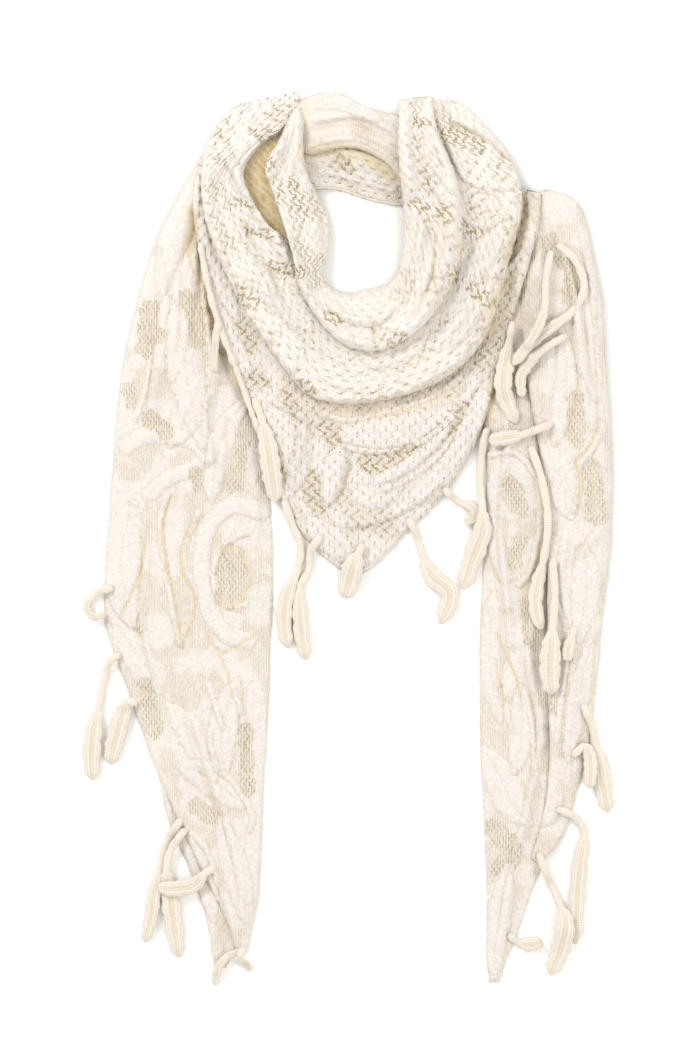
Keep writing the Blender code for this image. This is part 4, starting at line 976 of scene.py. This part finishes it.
def sheet_of_lace(cloth, seed):
    """Knits one stretch: a net laid on its solid, raised in its figures and sunken in its gaps."""
    solid = Solid(cloth.node)
    lattice = hanging_lattice if cloth.hangs else following_lattice
    bm, flow = lattice(cloth)
    pixels = places_of(bm)[:, :2]
    xy = plan(pixels)
    z = np.array([solid.height(x, y) for x, y in xy]) - BELOW_TOP
    put(bm, np.column_stack([xy, z]))
    for _ in range(24):
        smooth_heights(bm)
    rise, density, shade = stroke_fields(pixels, cloth.openness, seed)
    curls = wander(pixels, 2.4, seed + 1) + 0.6 * wander(pixels, 1.3, seed + 6)
    ripple = 0.35 * MM * wander(pixels, 9, seed + 2) + 0.6 * MM * wander(pixels, 30, seed + 4)
    lengthwise = flow * (1, 0.16)
    folds = wander(lengthwise, 10, seed + 7) - 1.5 * np.abs(wander(lengthwise, 17, seed + 8))
    fold_height = 1.45 * MM if cloth.node.endswith("swag") else 0.8 * MM
    places = places_of(bm)
    places[:, 2] += FIGURE_RELIEF * rise + ripple + fold_height * folds
    places[:, 2] += CURL_RISE * curls * np.clip(density, 0.15, 1)
    turn = EDGE_TURN * (1 - np.clip(edge_distance(cloth, pixels)[0] * PIXEL / EDGE_TURN, 0, 1)) ** 2
    places[:, 2] -= turn
    if cloth.node.endswith("swag"):
        for end, tuck in zip((0, -1), END_TUCKS[cloth.node]):
            near_end = np.abs(pixels - np.mean(cloth.sections[end], axis=0)) @ (0.3, 1.0)
            places[:, 2] -= tuck * MM * np.clip(1 - near_end / 46, 0, 1) ** 2
    places[:, 2] = np.maximum(places[:, 2], 0.6 * MM)
    put(bm, places)
    for _ in range(10):
        smooth_heights(bm)
    # Painted shade: tan in the cavities below the smoothed surface, on the edges turned under and just past
    # the edges of the stretches above.
    hollow = np.clip((places_of(bm)[:, 2] - places[:, 2]) / (0.8 * MM), 0, 1)
    shade = shade + 0.2 * hollow + 0.3 * turn / EDGE_TURN + shade_from_above(cloth, pixels)
    put(bm, places)
    dense_layer = bm.verts.layers.float.new("dense")
    shade_layer = bm.verts.layers.float.new("shade")
    for vert, d, s in zip(bm.verts, density, shade):
        vert[dense_layer] = min(1.6 * float(d), 1.0)
        vert[shade_layer] = min(float(s), 1.2)
    gap = bm.faces.layers.int["gap"]
    value = dict(zip(bm.verts, density))
    # Gap faces where the net is open or thin take the gap floor material, with its painted shade.
    for face in bm.faces:
        mean = sum(value[v] for v in face.verts) / len(face.verts)
        if face[gap] and mean < 0.34 and not any(v.is_boundary for v in face.verts):
            face.material_index = 1
    pits = [f for f in bm.faces if f.material_index == 1]
    inside = {v for f in pits for v in f.verts if all(near.material_index == 1 for near in v.link_faces)}
    for vert in inside:
        if not vert.is_boundary:
            vert.co.z = max(vert.co.z - HOLE_DEPTH, 0.5 * MM)
    pits = [f for f in pits if not inside.intersection(f.verts)]
    for vert in bmesh.ops.poke(bm, faces=pits)["verts"]:
        vert.co.z -= PIT_DEPTH
        vert[dense_layer] = sum(e.other_vert(vert)[dense_layer] for e in vert.link_edges) / 4
    bmesh.ops.recalc_face_normals(bm, faces=bm.faces)
    lace = LOOP_LACE if cloth.node.endswith("swag") else FLAT_LACE
    piece = finish_piece("lace_" + cloth.node, bm, lace)
    piece.data.materials.append(GAPS)
    if sum(p.normal.z for p in piece.data.polygons) < 0:
        piece.data.flip_normals()
    thickness = piece.modifiers.new("thickness", "SOLIDIFY")
    thickness.thickness = CLOTH_THICKNESS
    thickness.offset = 0
    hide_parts(cloth.node)
    return piece


def tube(stations, around):
    """A tube as a grid wrapped round, with the share along and the angle round of each point."""
    bm = bmesh.new()
    bmesh.ops.create_grid(bm, x_segments=stations, y_segments=around, size=0.5)
    unit = places_of(bm)[:, :2] + 0.5
    layer = bm.loops.layers.uv.new("along_and_round")
    return bm, unit[:, 0], unit[:, 1] * 2 * math.pi, layer


def close_tube(bm):
    bmesh.ops.remove_doubles(bm, verts=bm.verts, dist=1e-6)
    bmesh.ops.holes_fill(bm, edges=[e for e in bm.edges if e.is_boundary], sides=0)
    bmesh.ops.recalc_face_normals(bm, faces=bm.faces)


def lay_uv(bm, layer, length):
    """Unwraps the tube while it is still a flat grid: metres along, turns round."""
    for face in bm.faces:
        for loop in face.loops:
            loop[layer].uv = ((loop.vert.co.x + 0.5) * length, loop.vert.co.y + 0.5)


def leaf_drop(drop):
    """One knitted drop: a round stem that swells into a puckered leaf with a blunt tip."""
    solid = Solid(drop.name)
    route = plan(drop.stem + drop.leaf)
    stem_share = (len(drop.stem) - 0.8) / (len(route) - 1)
    length = curve_length(route)
    stations = int(length / (1.3 * MM))
    bm, along, angle, layer = tube(stations, 20)
    lay_uv(bm, layer, length)
    positions = np.interp(along, np.linspace(0, 1, stations + 1), evenly(route, stations))
    line = spline(route, positions)
    ahead = spline(route, np.minimum(positions + 0.02, len(route) - 1))
    behind = spline(route, np.maximum(positions - 0.02, 0))
    heading = (ahead - behind) / np.linalg.norm(ahead - behind, axis=1)[:, None]
    side = np.stack([-heading[:, 1], heading[:, 0]], -1)
    share = positions / (len(route) - 1)
    in_leaf = np.clip((share - stem_share) / (1 - stem_share), 0, 1)
    swell = np.where(in_leaf > 0, np.sin(np.pi * np.clip(in_leaf * 0.95 + 0.01, 0, 1) ** 0.95) ** 0.6, 0)
    half_leaf = 1.05 * drop.leaf_width * PIXEL / 2
    pucker = 1 + 0.07 * np.sin(share * 47 + len(drop.name)) + 0.05 * np.sin(share * 83 + 2 * angle)
    tip = np.clip(np.clip((1 - in_leaf) / 0.13, 0, 1) ** 0.5, 0.15, 1)
    root = np.clip(0.4 + along * length / (5 * MM), 0, 1) ** 0.7
    half_width = root * (STEM_RADIUS + (half_leaf - STEM_RADIUS) * swell) * pucker * tip
    half_height = root * (STEM_HALF_HEIGHT + (LEAF_HALF_HEIGHT - STEM_HALF_HEIGHT) * swell) * tip
    aside = np.cos(angle)
    up = np.sin(angle)
    ridges = 0.4 * MM * np.cos(aside * 12.5) * swell
    groove = 1.8 * MM * swell * np.exp(-(((aside + 0.1) / 0.17) ** 2))
    base = {}
    for place in sorted({(round(a, 6), round(b, 6)) for a, b in line}):
        base[place] = solid.height(*place, above=False)
    low = np.array([base[(round(a, 6), round(b, 6))] for a, b in line])
    order = np.argsort(share)
    smooth = np.convolve(np.pad(low[order], 38, mode="edge"), np.ones(77) / 77, "valid")
    low = np.interp(share, share[order], smooth)
    height = low + half_height * (1 + up) + np.where(up > 0, ridges - groove, 0)
    xy = line + side * (aside * half_width)[:, None]
    put(bm, np.column_stack([xy, height]))
    shade_layer = bm.verts.layers.float.new("shade")
    # Painted shade for the shade attribute: in the leaf's groove on top, and over its lower half.
    painted_shade = np.where(up > 0, groove / (1.8 * MM), 0.3 * swell)
    for vert, value in zip(bm.verts, painted_shade):
        vert[shade_layer] = 0.75 * float(value)
    close_tube(bm)
    piece = finish_piece("knitted_" + drop.name, bm, KNIT)
    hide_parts(drop.name)
    return piece


def rolled_edge(cloth, hem, number):
    """The edge of the cloth rolled over on itself, as an uneven cord."""
    sections = cloth.sections[hem.begin : hem.end + 1]
    edge, opposite = [s.left for s in sections], [s.right for s in sections]
    if hem.side == "right":
        edge, opposite = opposite, edge
    length = curve_length(edge)
    stations = int(length / 3.0)
    bm, along, angle, layer = tube(stations, 10)
    lay_uv(bm, layer, length * PIXEL)
    positions = evenly(edge, stations)
    line = plan(spline(edge, positions))
    inward = plan(spline(opposite, positions)) - line
    inward /= np.linalg.norm(inward, axis=1)[:, None]
    line += inward * 0.7 * hem.radius * MM
    solid = Solid(cloth.node)
    heights = np.array([solid.height(x, y) for x, y in line])
    heights = np.convolve(np.pad(heights, 3, mode="edge"), np.ones(7) / 7, "valid")
    steps = np.round(along * stations).astype(int)
    ends = np.clip(40 * np.minimum(along, 1 - along) + 0.3, 0, 1)
    uneven = 1 + 0.5 * wander(spline(edge, positions)[steps], 6, number + 0.5)
    radius = 0.75 * hem.radius * MM * uneven * ends
    xy = line[steps] + inward[steps] * (np.cos(angle) * radius * 1.15)[:, None]
    z = np.maximum(heights[steps] - 0.2 * MM, 0.9 * MM) + np.sin(angle) * radius
    put(bm, np.column_stack([xy, np.maximum(z, 0.05 * MM)]))
    close_tube(bm)
    return finish_piece(f"rolled_edge_{cloth.node}_{hem.side}", bm, KNIT)


def heap_core():
    """The folded layers inside the loop, softened from their solid."""
    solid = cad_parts["hidden_layers"]
    bm = bmesh.new()
    bm.from_mesh(solid.data)
    bmesh.ops.remove_doubles(bm, verts=bm.verts, dist=1e-6)
    # The heap wears the lace painted ochre for its shade.
    piece = finish_piece("folded_layers", bm, SHADED)
    rounding = piece.modifiers.new("rounding", "SUBSURF")
    rounding.levels = 2
    rounding.render_levels = 2
    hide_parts("hidden_layers")
    return piece


# One yarn makes both. The flat lace is darker to make up for the lamps, which light it more.
# The first colour of each pair is the painted shade in the low parts between curls or wales.
LOOP_LACE = boucle_lace("gathered_boucle_lace", ("#E9E1D8", "#FBF7F3"), ("#EBE3DA", "#F8F4F0"))
FLAT_LACE = boucle_lace("flat_boucle_lace", ("#E4DBD3", "#FAF6F3"), ("#DBD1C7", "#EBE4DD"))
GAPS = net_gaps()
KNIT = knitted_tube()
SHADED = shaded_lace()

camera = bpy.data.objects.new("camera", bpy.data.cameras.new("camera"))
camera.data.lens = 150
camera.data.sensor_fit = "VERTICAL"
camera.data.sensor_height = 36
camera.location = (0.00337, 0.01049, 3.279)
bpy.context.scene.collection.objects.link(camera)
bpy.context.scene.camera = camera

floor_bm = bmesh.new()
bmesh.ops.create_grid(floor_bm, x_segments=1, y_segments=1, size=3.0)
floor_mesh = bpy.data.meshes.new("floor")
floor_bm.to_mesh(floor_mesh)
floor_bm.free()
floor_mesh.transform(Matrix.Translation((0, 0, -0.0004)))
floor_mesh.materials.append(floor_paper())
floor = bpy.data.objects.new("floor", floor_mesh)
bpy.context.scene.collection.objects.link(floor)

world = bpy.data.worlds.new("studio")
bpy.context.scene.world = world
world.use_nodes = True
world.node_tree.nodes["Background"].inputs["Color"].default_value = colour("#FFFDF9")
world.node_tree.nodes["Background"].inputs["Strength"].default_value = 0.83
bpy.context.scene.view_settings.view_transform = "Standard"

for name, place, power, size in (
    ("key_light", (-1.7, 1.7, 2.2), 46, 0.9),
    ("fill_light", (1.9, -0.5, 2.3), 30, 2.5),
):
    lamp = bpy.data.lights.new(name, "AREA")
    lamp.energy = power
    lamp.size = size
    light = bpy.data.objects.new(name, lamp)
    light.location = place
    light.rotation_euler = (-Vector(place)).to_track_quat("-Z", "Y").to_euler()
    bpy.context.scene.collection.objects.link(light)

heap_core()
for number, cloth in enumerate(CLOTHS):
    lace = sheet_of_lace(cloth, 10.0 + 3.7 * number)
    edges = [rolled_edge(cloth, hem, number) for hem in cloth.hems]
for drop in DROPS:
    leaf_drop(drop)
